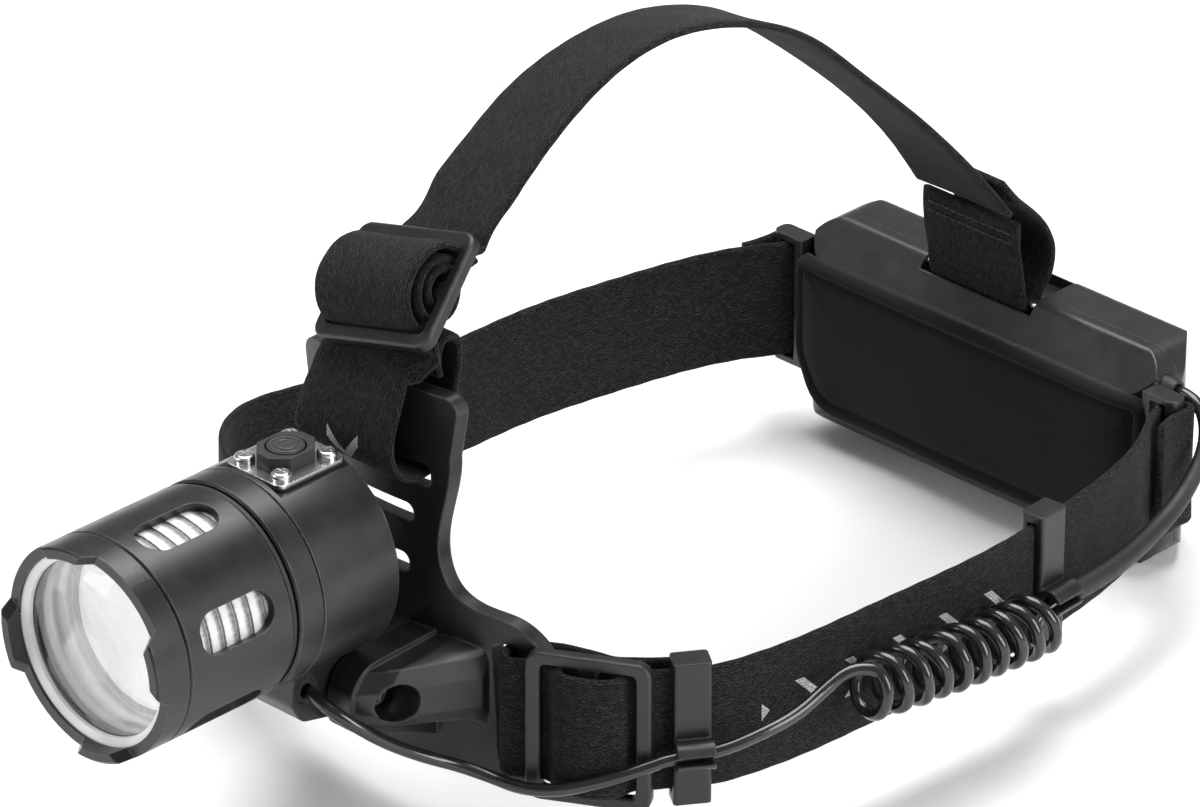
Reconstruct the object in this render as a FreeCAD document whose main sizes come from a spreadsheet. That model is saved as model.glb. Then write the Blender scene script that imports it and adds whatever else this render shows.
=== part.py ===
import FreeCAD, Part
import math
import os
import re
import Sketcher

# Head-worn cap lamp: a zooming aluminium lamp on a tilting bracket, an elastic head band
# with a top strap, a part-coiled lead and a two-cell battery box at the back of the head.
#
# Frame, in millimetres: origin at the middle of the head-band loop, at the band's mid height.
# The lamp points to -Y, the battery box is at +Y, the lead runs along the +X side, Z is up.

V = FreeCAD.Vector
doc = FreeCAD.newDocument("CapLamp")
sheet = doc.addObject("Spreadsheet::Sheet", "Sizes")

SIZES = {
    # lamp head, turned about an axis along Y
    "head_radius": 21.5,
    "head_axis_z": 32.0,
    "crest_y": -154.4,
    "crest_depth": 2.8,
    "bezel_back_y": -146.2,
    "neck_back_y": -141.2,
    "neck_radius": 20.5,
    "seat_radius": 19.7,
    "lip_radius": 19.3,
    "lens_front_y": -149.5,
    "lens_thick": 2.2,
    "lens_dome_radius": 17.6,
    "lens_dome_rise": 4.7,
    "sleeve_front_y": -145.7,
    "sleeve_back_y": -119.4,
    "barrel_front_y": -138.6,
    "barrel_radius": 18.3,
    "barrel_bore": 17.0,
    "ring_front_y": -117.6,
    "ring_back_y": -111.6,
    "body_front_y": -111.4,
    "body_back_y": -91.3,
    "body_bore": 17.4,
    "window_length": 18.7,
    "window_width": 8.4,
    "window_y": -132.9,
    "flat_height": 19.6,
    # power switch
    "switch_y": -100.4,
    "plate_thick": 0.8,
    "switch_screw_x": 4.9,
    "switch_screw_y": 6.0,
    "boot_height": 2.8,
    "cap_radius": 3.7,
    # tilting foot and its hinge
    "hinge_y": -91.4,
    "hinge_z": 4.3,
    "foot_half": 8.3,
    "foot_nose_y": -108.0,
    "ear_inner": 9.15,
    "ear_outer": 15.4,
    "pin_radius": 1.5,
    # forehead plate
    "plate_front_y": -77.7,
    "plate_curve": 88.2,
    "plate_wall": 3.1,
    # webbing
    "band_width": 26.0,
    "web_thick": 1.5,
    "buckle_thick": 2.6,
    # battery box
    "box_right": 50.7,
    "box_left": 44.0,
    "box_top_z": 19.3,
    "box_bottom_z": -26.0,
    "box_front_y": 86.8,
    "box_split_y": 96.6,
    "box_back_y": 109.5,
    "hump_back_y": 115.5,
    "box_wall": 1.8,
    "cell_start": -32.2,
    "cell_radius": 9.2,
    "cell_length": 65.0,
    # lead
    "cord_radius": 1.3,
    "coil_radius": 6.6,
}

for row, (alias, value) in enumerate(SIZES.items(), start=1):
    sheet.set(f"A{row}", alias)
    sheet.set(f"B{row}", str(value))
    sheet.setAlias(f"B{row}", alias)
doc.recompute()


def size(alias):
    return float(getattr(sheet, alias))


def linked(text):
    """A sum of sheet names and numbers, with each name pointed at the sheet."""
    return re.sub(r"\b(" + "|".join(SIZES) + r")\b", r"Sizes.\1", str(text))


def bind(item, **properties):
    for name, text in properties.items():
        item.setExpression(name.replace("__", "."), linked(text))


parts = []


def keep(item, label):
    item.Label = label
    parts.append(item)
    return item


# ---------------------------------------------------------------- sketch helpers

def origin_feature(body, role):
    return [f for f in body.Origin.OriginFeatures if f.Role == role][0]


def new_sketch(body, name, role):
    sketch = body.newObject("Sketcher::SketchObject", name)
    sketch.AttachmentSupport = (origin_feature(body, role), [""])
    sketch.MapMode = "FlatFace"
    return sketch


def measure(sketch, kind, geometry, point, text, start):
    index = sketch.addConstraint(Sketcher.Constraint(kind, -1, 1, geometry, point, start))
    sketch.setExpression(f"Constraints[{index}]", linked(text))


def polygon(body, name, role, corners):
    """Closed straight-sided outline, each corner bound to sums of sheet cells."""
    sketch = new_sketch(body, name, role)
    count = len(corners)
    start = [V(math.cos(2 * math.pi * i / count), math.sin(2 * math.pi * i / count), 0)
             for i in range(count)]
    for i in range(count):
        sketch.addGeometry(Part.LineSegment(start[i], start[(i + 1) % count]), False)
    for i in range(count):
        sketch.addConstraint(Sketcher.Constraint("Coincident", i, 2, (i + 1) % count, 1))
    for i, (across, up) in enumerate(corners):
        measure(sketch, "DistanceX", i, 1, across, start[i].x)
        measure(sketch, "DistanceY", i, 1, up, start[i].y)
    return sketch


def oblong(body, name, role, middle_x, middle_y, half_y, radius):
    """Slot outline with round ends, long in the sketch's second direction."""
    sketch = new_sketch(body, name, role)
    low, high = V(0, -5, 0), V(0, 5, 0)
    normal = V(0, 0, 1)
    sketch.addGeometry(Part.ArcOfCircle(Part.Circle(low, normal, 2), math.pi, 2 * math.pi), False)
    sketch.addGeometry(Part.LineSegment(V(2, -5, 0), V(2, 5, 0)), False)
    sketch.addGeometry(Part.ArcOfCircle(Part.Circle(high, normal, 2), 0, math.pi), False)
    sketch.addGeometry(Part.LineSegment(V(-2, 5, 0), V(-2, -5, 0)), False)
    for i in range(4):
        sketch.addConstraint(Sketcher.Constraint("Tangent", i, 2, (i + 1) % 4, 1))
    sketch.addConstraint(Sketcher.Constraint("Vertical", 1))
    sketch.addConstraint(Sketcher.Constraint("Vertical", 3))
    index = sketch.addConstraint(Sketcher.Constraint("Radius", 0, 2.0))
    sketch.setExpression(f"Constraints[{index}]", linked(radius))
    measure(sketch, "DistanceX", 0, 3, middle_x, 0)
    measure(sketch, "DistanceY", 0, 3, f"{middle_y} - ({half_y})", -5)
    measure(sketch, "DistanceY", 2, 3, f"{middle_y} + ({half_y})", 5)
    return sketch


def on_head_axis(item, turn=0.0):
    """Sets a piece drawn about the world Y axis onto the lamp's own axis."""
    item.Placement = FreeCAD.Placement(V(0, 0, 0), FreeCAD.Rotation(V(0, 1, 0), turn))
    bind(item, Placement__Base__z="head_axis_z")


def turned(label, profile, turn=0.0):
    """Solid of revolution about the lamp axis from (station, radius) corners."""
    body = doc.addObject("PartDesign::Body", label)
    sketch = polygon(body, label + "_profile", "YZ_Plane", profile)
    solid = body.newObject("PartDesign::Revolution", label + "_turned")
    solid.Profile = sketch
    solid.ReferenceAxis = (sketch, ["H_Axis"])
    solid.Angle = 360
    body.Tip = solid
    on_head_axis(body, turn)
    return keep(body, label)


def cut_round(body, sketch, count, depth="head_radius + 5"):
    """Cuts a sketch outward from the axis plane on +Z, repeated about the lamp axis."""
    cut = body.newObject("PartDesign::Pocket", sketch.Name + "_cut")
    cut.Profile = sketch
    cut.Type = "Length"
    cut.Reversed = True
    bind(cut, Length=depth)
    doc.recompute()
    ring = body.newObject("PartDesign::PolarPattern", sketch.Name + "_ring")
    ring.Originals = [cut]
    ring.Axis = (origin_feature(body, "Y_Axis"), [""])
    ring.Angle = 360
    ring.Occurrences = count
    body.Tip = ring


# ---------------------------------------------------------------- path and shell helpers

def corner_arc(before, corner, after, radius):
    """Tangent arc at a corner: its two ends and the point half way along it."""
    back = (before - corner).normalize()
    ahead = (after - corner).normalize()
    half_turn = (math.pi - back.getAngle(ahead)) / 2
    reach = radius * math.tan(half_turn)
    inward = (back + ahead).normalize()
    middle = corner + inward * (radius / math.cos(half_turn) - radius)
    return corner + back * reach, middle, corner + ahead * reach


def rounded_wire(points, radii, closed=True):
    """Straight runs joined by tangent arcs, in a plane or in space."""
    points = [V(*p) for p in points]
    count = len(points)
    if not isinstance(radii, (list, tuple)):
        radii = [radii] * count
    edges = []
    last = None
    first = None
    for i in range(count):
        is_end = not closed and i in (0, count - 1)
        if radii[i] <= 0 or is_end:
            start = stop = points[i]
            arc = None
        else:
            start, middle, stop = corner_arc(points[i - 1], points[i], points[(i + 1) % count], radii[i])
            arc = Part.Arc(start, middle, stop).toShape()
        if last is not None and last.distanceToPoint(start) > 1e-6:
            edges.append(Part.LineSegment(last, start).toShape())
        if arc is not None:
            edges.append(arc)
        if first is None:
            first = start
        last = stop
    if closed and last.distanceToPoint(first) > 1e-6:
        edges.append(Part.LineSegment(last, first).toShape())
    return Part.Wire(edges)


def plate_of(points, radii, along):
    """Flat rounded outline pushed along a vector."""
    return Part.Face(rounded_wire(points, radii)).extrude(V(*along))


def rounded_box(low, high, radius):
    """Box whose edges along Z are rounded."""
    (x0, y0, z0), (x1, y1, z1) = low, high
    corners = [(x0, y0, z0), (x1, y0, z0), (x1, y1, z0), (x0, y1, z0)]
    return plate_of(corners, radius, (0, 0, z1 - z0))


def rod(start, axis, radius, length):
    return Part.makeCylinder(radius, length, V(*start), V(*axis))


def solid_feature(label, shape, place=None):
    item = doc.addObject("Part::Feature", label)
    item.Shape = shape
    if place is not None:
        item.Placement = place
    return keep(item, label)


def smooth_edge(points):
    curve = Part.BSplineCurve()
    curve.interpolate(points)
    return curve.toShape()


def webbing(points, thick, push):
    """Strip of webbing that follows a smooth flat line and is as wide as the push vector."""
    curve = Part.BSplineCurve()
    curve.interpolate(points)
    facing = V(push).normalize()
    first, last = curve.FirstParameter, curve.LastParameter
    sides = ([], [])
    steps = 3 * (len(points) - 1)
    for i in range(steps + 1):
        at = first + (last - first) * i / steps
        point = curve.value(at)
        run = curve.tangent(at)[0]
        across = facing.cross(run) * (thick / 2)
        sides[0].append(point + across)
        sides[1].append(point - across)
    outline = [smooth_edge(sides[0]),
               Part.LineSegment(sides[0][-1], sides[1][-1]).toShape(),
               smooth_edge(sides[1][::-1]),
               Part.LineSegment(sides[1][0], sides[0][0]).toShape()]
    return Part.Face(Part.Wire(outline)).extrude(push)


def upright_band(points, thick):
    half = size("band_width") / 2
    return webbing([V(x, y, -half) for x, y in points], thick, V(0, 0, 2 * half))


def fore_and_aft_band(points, thick):
    half = size("band_width") / 2
    return webbing([V(-half, y, z) for y, z in points], thick, V(2 * half, 0, 0))


def ribbon(stations, width, thick):
    """Strip lofted through (y, z, roll) stations, roll lifting its +X edge, in degrees."""
    wires = []
    count = len(stations)
    for i, (y, z, roll) in enumerate(stations):
        before = stations[max(i - 1, 0)]
        after = stations[min(i + 1, count - 1)]
        run = V(0, after[0] - before[0], after[1] - before[1]).normalize()
        flat_normal = V(0, -run.z, run.y)
        turn = FreeCAD.Rotation(run, -roll)
        side = turn.multVec(V(1, 0, 0)) * (width / 2)
        out = turn.multVec(flat_normal) * (thick / 2)
        middle = V(0, y, z)
        wires.append(Part.makePolygon([middle - side - out, middle + side - out,
                                       middle + side + out, middle - side + out,
                                       middle - side - out]))
    return Part.makeLoft(wires, True, False)


# ---------------------------------------------------------------- zooming head

def make_bezel():
    """Strike bezel: its crest is relieved by four wide dips."""
    bezel = turned("bezel", [
        ("crest_y", "lip_radius"),
        ("crest_y", "head_radius - 0.5"),
        ("crest_y + 0.5", "head_radius"),
        ("bezel_back_y", "head_radius"),
        ("bezel_back_y", "neck_radius"),
        ("neck_back_y", "neck_radius"),
        ("neck_back_y", "seat_radius"),
        ("lens_front_y - 1.5", "seat_radius"),
        ("lens_front_y - 1.5", "lip_radius"),
    ], turn=33.0)
    dip = polygon(bezel, "crest_dip", "XY_Plane", [
        ("head_radius * -0.5", "crest_y - 1"),
        ("head_radius * -0.5", "crest_y"),
        ("head_radius * -0.41", "crest_y + crest_depth"),
        ("head_radius * 0.41", "crest_y + crest_depth"),
        ("head_radius * 0.5", "crest_y"),
        ("head_radius * 0.5", "crest_y - 1"),
    ])
    cut_round(bezel, dip, 4)


def make_lens():
    """Plano-convex aspheric lens with a thin clamping flange."""
    front = size("lens_front_y")
    rim = size("lens_dome_radius")
    rise = size("lens_dome_rise")
    flange = size("seat_radius") - 0.2
    back = front + size("lens_thick")
    shoulder = front + 0.3
    outline = [
        Part.LineSegment(V(0, back, 0), V(flange, back, 0)).toShape(),
        Part.LineSegment(V(flange, back, 0), V(flange, shoulder, 0)).toShape(),
        Part.LineSegment(V(flange, shoulder, 0), V(rim, shoulder, 0)).toShape(),
        smooth_edge([V(rim, shoulder, 0), V(rim * 0.86, front - rise * 0.33, 0),
                     V(rim * 0.55, front - rise * 0.77, 0), V(rim * 0.25, front - rise * 0.96, 0),
                     V(0, front - rise, 0)]),
        Part.LineSegment(V(0, front - rise, 0), V(0, back, 0)).toShape(),
    ]
    solid = Part.Face(Part.Wire(outline)).revolve(V(0, 0, 0), V(0, 1, 0), 360)
    item = solid_feature("lens", solid)
    on_head_axis(item)


def ribbed_profile(front, back, outer, inner, ribs, groove_depth):
    """Tube section whose outside is cut by evenly spaced grooves."""
    corners = [(front, inner), (front, outer)]
    groove = 0.7
    for i in range(1, ribs):
        middle = f"({front} + ({back} - ({front})) * {i} / {ribs})"
        corners += [(f"{middle} - {groove / 2}", outer),
                    (f"{middle} - {groove / 2}", f"{outer} - {groove_depth}"),
                    (f"{middle} + {groove / 2}", f"{outer} - {groove_depth}"),
                    (f"{middle} + {groove / 2}", outer)]
    return corners + [(back, outer), (back, inner)]


def make_zoom_head():
    make_bezel()
    make_lens()
    turned("lens_ring", [
        ("lens_front_y - 1.4", "lip_radius - 0.2"),
        ("lens_front_y - 1.4", "seat_radius - 0.1"),
        ("lens_front_y + 0.2", "seat_radius - 0.1"),
        ("lens_front_y + 0.2", "lens_dome_radius + 0.15"),
        ("lens_front_y - 0.6", "lens_dome_radius + 0.15"),
    ])
    turned("lens_seal", [
        ("lens_front_y + lens_thick + 0.05", "seat_radius - 1.4"),
        ("lens_front_y + lens_thick + 0.05", "seat_radius - 0.1"),
        ("lens_front_y + lens_thick + 1.25", "seat_radius - 0.1"),
        ("lens_front_y + lens_thick + 1.25", "seat_radius - 1.4"),
    ])
    sleeve = turned("zoom_sleeve", [
        ("sleeve_front_y", "neck_radius + 0.05"),
        ("sleeve_front_y", "head_radius - 0.35"),
        ("sleeve_front_y + 0.35", "head_radius"),
        ("sleeve_back_y - 0.4", "head_radius"),
        ("sleeve_back_y", "head_radius - 0.4"),
        ("sleeve_back_y", "seat_radius"),
        ("neck_back_y + 0.1", "seat_radius"),
        ("neck_back_y + 0.1", "neck_radius + 0.05"),
    ], turn=12.0)
    window = oblong(sleeve, "side_window", "XY_Plane", "0", "window_y",
                    "window_length / 2 - window_width / 2", "window_width / 2")
    cut_round(sleeve, window, 6)
    turned("window_diffuser", ribbed_profile(
        "lens_front_y + lens_thick + 1.4", "sleeve_back_y - 1.5",
        "seat_radius - 0.1", "barrel_radius + 0.3", 7, 0.45))


# ---------------------------------------------------------------- lamp body

def make_lamp_tube():
    turned("inner_barrel", [
        ("barrel_front_y", "barrel_bore"),
        ("barrel_front_y", "barrel_radius"),
        ("-130.6", "barrel_radius"),
        ("-130.6", "barrel_radius - 0.6"),
        ("-129.0", "barrel_radius - 0.6"),
        ("-129.0", "barrel_radius"),
        ("ring_back_y - 0.1", "barrel_radius"),
        ("ring_back_y - 0.1", "barrel_bore"),
    ])
    turned("barrel_seal", [
        ("-130.5", "barrel_radius - 0.55"),
        ("-130.5", "barrel_radius"),
        ("-130.1", "barrel_radius + 0.25"),
        ("-129.5", "barrel_radius + 0.25"),
        ("-129.1", "barrel_radius"),
        ("-129.1", "barrel_radius - 0.55"),
    ])
    turned("stop_ring", [
        ("sleeve_back_y + 0.2", "barrel_radius + 0.05"),
        ("sleeve_back_y + 0.2", "head_radius - 1.1"),
        ("sleeve_back_y + 0.6", "head_radius - 0.7"),
        ("ring_front_y - 0.4", "head_radius - 0.7"),
        ("ring_front_y - 0.1", "head_radius - 1.1"),
        ("ring_front_y - 0.1", "barrel_radius + 0.05"),
    ])
    turned("rear_ring", [
        ("ring_front_y", "barrel_radius + 0.05"),
        ("ring_front_y", "head_radius - 0.4"),
        ("ring_front_y + 0.4", "head_radius"),
        ("ring_back_y - 0.2", "head_radius"),
        ("ring_back_y", "head_radius - 0.2"),
        ("ring_back_y", "barrel_radius + 0.05"),
    ])
    body = turned("lamp_body", [
        ("body_front_y", "body_bore"),
        ("body_front_y", "head_radius - 0.2"),
        ("body_front_y + 0.2", "head_radius"),
        ("body_back_y - 0.8", "head_radius"),
        ("body_back_y", "head_radius - 0.8"),
        ("body_back_y", "0"),
        ("body_back_y - 2.4", "0"),
        ("body_back_y - 2.4", "body_bore"),
    ])
    flat = polygon(body, "switch_flat", "YZ_Plane", [
        ("switch_y - 9.8", "flat_height"),
        ("switch_y - 9.8", "head_radius + 1"),
        ("body_back_y + 1", "head_radius + 1"),
        ("body_back_y + 1", "flat_height"),
    ])
    cut = body.newObject("PartDesign::Pocket", "flat_cut")
    cut.Profile = flat
    cut.Type = "Length"
    cut.Midplane = True
    bind(cut, Length="head_radius * 2")
    body.Tip = cut


def make_light_engine():
    turned("led_pedestal", [
        ("-121.0", "0"), ("-128.0", "0"), ("-128.0", "12.0"), ("-126.0", "12.0"),
        ("-126.0", "barrel_bore - 0.05"), ("-121.0", "barrel_bore - 0.05"),
    ])
    turned("led_board", [
        ("-129.6", "0"), ("-129.6", "10.0"), ("-128.05", "10.0"), ("-128.05", "0"),
    ])
    turned("reflector_cup", [
        ("-129.8", "4.6"), ("-130.7", "4.6"), ("barrel_front_y + 0.2", "barrel_bore - 1.0"),
        ("barrel_front_y + 0.2", "barrel_bore - 0.1"), ("-137.0", "barrel_bore - 0.1"),
        ("-129.8", "6.0"),
    ])
    base = Part.makeBox(6.4, 0.8, 6.4, V(-3.2, -130.45, -3.2))
    dome = Part.makeSphere(2.5, V(0, -130.4, 0), V(0, -1, 0), 0, 90, 360)
    emitter = solid_feature("led_emitter", base.fuse(dome).removeSplitter())
    on_head_axis(emitter)
    turned("driver_board", [
        ("-107.5", "0"), ("-107.5", "15.5"), ("-105.9", "15.5"), ("-105.9", "0"),
    ])


def make_switch():
    """Metal frame plate, rubber boot and round button on the flat above the body."""
    top = size("head_axis_z") + size("flat_height")
    mid = size("switch_y")
    screw_x = size("switch_screw_x")
    screw_y = size("switch_screw_y")
    half_x, half_y = 7.6, 8.8
    cap_hole = size("cap_radius") + 0.3
    seal_z = top + 0.02
    plate_z = seal_z + 0.5
    sheet_top = plate_z + size("plate_thick")

    gasket = rounded_box((-half_x, mid - half_y, seal_z), (half_x, mid + half_y, plate_z - 0.02), 1.6)
    plate = rounded_box((-half_x, mid - half_y, plate_z), (half_x, mid + half_y, sheet_top), 1.6)
    holes = rod((0, mid, top - 2), (0, 0, 1), 3.3, 8)
    spots = [(sx * screw_x, mid + sy * screw_y) for sx in (-1, 1) for sy in (-1, 1)]
    for x, y in spots:
        holes = holes.fuse(rod((x, y, top - 2), (0, 0, 1), 1.1, 8))
    solid_feature("switch_gasket", gasket.cut(holes))
    solid_feature("switch_plate", plate.cut(holes))

    reach_x, reach_y, trim = 4.7, 6.0, 3.0
    octagon = [(-reach_x, mid - reach_y + trim), (-reach_x + trim, mid - reach_y),
               (reach_x - trim, mid - reach_y), (reach_x, mid - reach_y + trim),
               (reach_x, mid + reach_y - trim), (reach_x - trim, mid + reach_y),
               (-reach_x + trim, mid + reach_y), (-reach_x, mid + reach_y - trim)]
    boot_z = sheet_top + 0.02
    boot = plate_of([(x, y, boot_z) for x, y in octagon], 0.5, (0, 0, size("boot_height")))
    boot = boot.cut(rod((0, mid, top), (0, 0, 1), cap_hole, 10))
    solid_feature("switch_boot", boot)

    cap_z = boot_z + 1.1
    cap = rod((0, mid, cap_z), (0, 0, 1), size("cap_radius"), size("boot_height") - 1.0)
    stem = rod((0, mid, top - 0.6), (0, 0, 1), 1.5, cap_z - top + 0.7)
    solid_feature("power_button", cap.fuse(stem).removeSplitter())

    screws = []
    for x, y in spots:
        head = rod((x, y, sheet_top + 0.02), (0, 0, 1), 2.0, 1.5)
        head = head.makeFillet(0.7, [e for e in head.Edges if e.BoundBox.ZMin > sheet_top + 1.4])
        shank = rod((x, y, top - 1.6), (0, 0, 1), 0.95, sheet_top - top + 1.7)
        slot = Part.makeBox(2.2, 0.45, 1, V(x - 1.1, y - 0.225, sheet_top + 1.1))
        cross = Part.makeBox(0.45, 2.2, 1, V(x - 0.225, y - 1.1, sheet_top + 1.1))
        screws.append(head.fuse(shank).cut(slot.fuse(cross)))
    solid_feature("switch_screws", Part.makeCompound(screws))

    switch = Part.makeBox(6.0, 6.0, 2.6, V(-3, mid - 3, top - 4.9))
    plunger = rod((0, mid, top - 2.4), (0, 0, 1), 1.4, 0.7)
    solid_feature("tact_switch", switch.fuse(plunger).removeSplitter())

    # button well and screw holes through the wall below the flat
    body = [p for p in parts if p.Label == "lamp_body"][0]
    well = new_sketch(body, "button_well", "XY_Plane")
    well.addGeometry(Part.Circle(V(0, mid, 0), V(0, 0, 1), 4.4), False)
    index = well.addConstraint(Sketcher.Constraint("Radius", 0, 4.4))
    well.setExpression(f"Constraints[{index}]", linked("cap_radius + 0.7"))
    measure(well, "DistanceX", 0, 3, "0", 0)
    measure(well, "DistanceY", 0, 3, "switch_y", mid)
    for i, (x, y) in enumerate(spots, start=1):
        well.addGeometry(Part.Circle(V(x, y, 0), V(0, 0, 1), 1.0), False)
        well.addConstraint(Sketcher.Constraint("Radius", i, 1.0))
        measure(well, "DistanceX", i, 3, f"switch_screw_x * {x / screw_x:.0f}", x)
        measure(well, "DistanceY", i, 3, f"switch_y + switch_screw_y * {(y - mid) / screw_y:.0f}", y)
    cut = body.newObject("PartDesign::Pocket", "button_well_cut")
    cut.Profile = well
    cut.Type = "Length"
    cut.Reversed = True
    bind(cut, Length="head_radius + 2")
    body.Tip = cut


def make_foot():
    """Moulded foot under the lamp body, drilled for the hinge screw and the lead."""
    half = size("foot_half")
    hy, hz = size("hinge_y"), size("hinge_z")
    nose = size("foot_nose_y")
    top = size("head_axis_z") - size("head_radius") + 6
    outline = [(-half, nose + 1.5, top), (-half, nose, 5.5), (-half, nose + 2.6, 1.2),
               (-half, hy - 4, hz - 5.4), (-half, hy + 5.4, hz - 5.4), (-half, hy + 5.4, hz + 5.6),
               (-half, hy + 0.6, top)]
    block = plate_of(outline, [0, 2.5, 3.0, 2, 5.3, 5.3, 0], (2 * half, 0, 0))
    bed = rod((0, nose - 5, size("head_axis_z")), (0, 1, 0), size("head_radius") + 0.02, 40)
    bore = rod((-half - 1, hy, hz), (1, 0, 0), size("pin_radius") + 0.1, 2 * half + 2)
    lead_way = rod((half - 4, -104.0, 7.6), (1, 0, 0), 2.5, 6)
    solid_feature("lamp_foot", block.cut(bed).cut(bore).cut(lead_way))
    ring = rod((half - 3.9, -104.0, 7.6), (1, 0, 0), 2.45, 3.9)
    ring = ring.cut(rod((half - 5, -104.0, 7.6), (1, 0, 0), size("cord_radius") + 0.15, 8))
    solid_feature("lamp_grommet", ring)


# ---------------------------------------------------------------- forehead bracket

def plate_flank():
    """Right flank of the forehead plate, from its tall tongue down to its widest point."""
    return [V(18.9, 0, 50.0), V(17.0, 0, 37.5), V(16.2, 0, 28.5), V(19.2, 0, 21.6),
            V(25.4, 0, 18.9), V(31.0, 0, 17.9), V(36.2, 0, 13.8), V(38.4, 0, 7.5)]


def make_forehead_plate():
    front = size("plate_front_y")
    curve = size("plate_curve")
    wall = size("plate_wall")
    deep = 30.0
    flank = [V(p.x, front - 5, p.z) for p in plate_flank()]
    right = [Part.LineSegment(V(20.4, front - 5, 59.5), flank[0]).toShape(), smooth_edge(flank),
             Part.LineSegment(flank[-1], V(37.2, front - 5, -12.4)).toShape(),
             Part.Arc(V(37.2, front - 5, -12.4), V(35.6, front - 5, -15.6),
                      V(32.2, front - 5, -16.8)).toShape(),
             Part.Arc(V(32.2, front - 5, -16.8), V(0, front - 5, -17.6),
                      V(-32.2, front - 5, -16.8)).toShape()]
    mirror = [e.mirror(V(0, 0, 0), V(1, 0, 0)) for e in right[:-1]]
    top = [Part.Arc(V(20.4, front - 5, 59.5), V(19.4, front - 5, 62.0), V(16.8, front - 5, 63.0)).toShape(),
           Part.LineSegment(V(16.8, front - 5, 63.0), V(-16.8, front - 5, 63.0)).toShape(),
           Part.Arc(V(-16.8, front - 5, 63.0), V(-19.4, front - 5, 62.0), V(-20.4, front - 5, 59.5)).toShape()]
    wire = Part.Wire(Part.__sortEdges__(right + mirror + top))
    blank = Part.Face(wire).extrude(V(0, deep, 0))
    centre_y = front + curve
    outer = rod((0, centre_y, -30), (0, 0, 1), curve, 110)
    inner = rod((0, centre_y, -31), (0, 0, 1), curve - wall, 112)
    plate = blank.common(outer).cut(inner)

    def window(low_x, high_x, low_z, high_z, radius, lean=0.0):
        y = front - 6
        corners = [(low_x + lean, y, low_z), (high_x + lean, y, low_z), (high_x, y, high_z), (low_x, y, high_z)]
        return plate_of(corners, radius, (0, deep, 0))

    openings = [window(-14.4, 14.4, 42.4, 47.6, 2.0),
                window(-10.3, 10.3, 33.9, 37.9, 1.9),
                window(-9.2, 9.2, 22.6, 26.9, 2.0)]
    for side in (-1, 1):
        slot = window(27.2, 32.6, -13.4, 13.4, 1.8, lean=1.4)
        openings.append(slot if side > 0 else slot.mirror(V(0, 0, 0), V(1, 0, 0)))
    for opening in openings:
        plate = plate.cut(opening)
    for side in (-1, 1):
        plate = plate.fuse(ear(side))
    for side in (-1, 1):
        plate = plate.cut(ear_cuts(side))
    solid_feature("forehead_plate", plate.removeSplitter())


def ear(side):
    """Fork arm with a fairing that runs back and out into the plate."""
    hy, hz = size("hinge_y"), size("hinge_z")
    inner, outer = size("ear_inner"), size("ear_outer")

    def section(x, nose, low, high, back):
        return Part.makePolygon([V(x, nose + 2.5, low + 0.5), V(x, nose, low + 3.4), V(x, nose, high - 4.0),
                                 V(x, nose + 3, high), V(x, back, high + 1.0), V(x, back, low - 3.0),
                                 V(x, nose + 2.5, low + 0.5)])

    # the nose is round about the hinge pin, so that the barrel clears it as it tilts
    arm = plate_of([(inner, hy - 8.2, hz - 5.4), (inner, hy - 7.5, hz + 7.4), (inner, -75.2, hz + 8.2),
                    (inner, -75.2, hz - 15.0)], [4, 7.2, 0, 0], (outer - inner, 0, 0))
    plate_y = size("plate_front_y")
    fairing = Part.makeLoft([section(outer, hy - 7.0, hz - 5.0, hz + 6.4, -75.2),
                             section(outer + 4.5, hy - 2.0, hz - 5.6, hz + 6.8, -75.2),
                             section(outer + 11.5, plate_y + 2.2, hz - 8.0, hz + 6.0, -73.2)], True, True)
    shape = arm.fuse(fairing)
    return shape if side > 0 else shape.mirror(V(0, 0, 0), V(1, 0, 0))


def ear_cuts(side):
    """Pin hole and head recess on the right, pin hole and nut pocket on the left."""
    hy, hz = size("hinge_y"), size("hinge_z")
    inner, outer = size("ear_inner"), size("ear_outer")
    hole = rod((side * (inner - 1), hy, hz), (side, 0, 0), size("pin_radius") + 0.05, 12)
    if side > 0:
        recess = rod((outer - 2.6, hy, hz), (1, 0, 0), 4.1, 30)
    else:
        start = -(outer - 2.6)
        corners = [(start, hy + 3.3 * math.cos(math.radians(60 * i)), hz + 3.3 * math.sin(math.radians(60 * i)))
                   for i in range(6)]
        recess = plate_of(corners, 0, (-30, 0, 0))
    return hole.fuse(recess)


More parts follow.
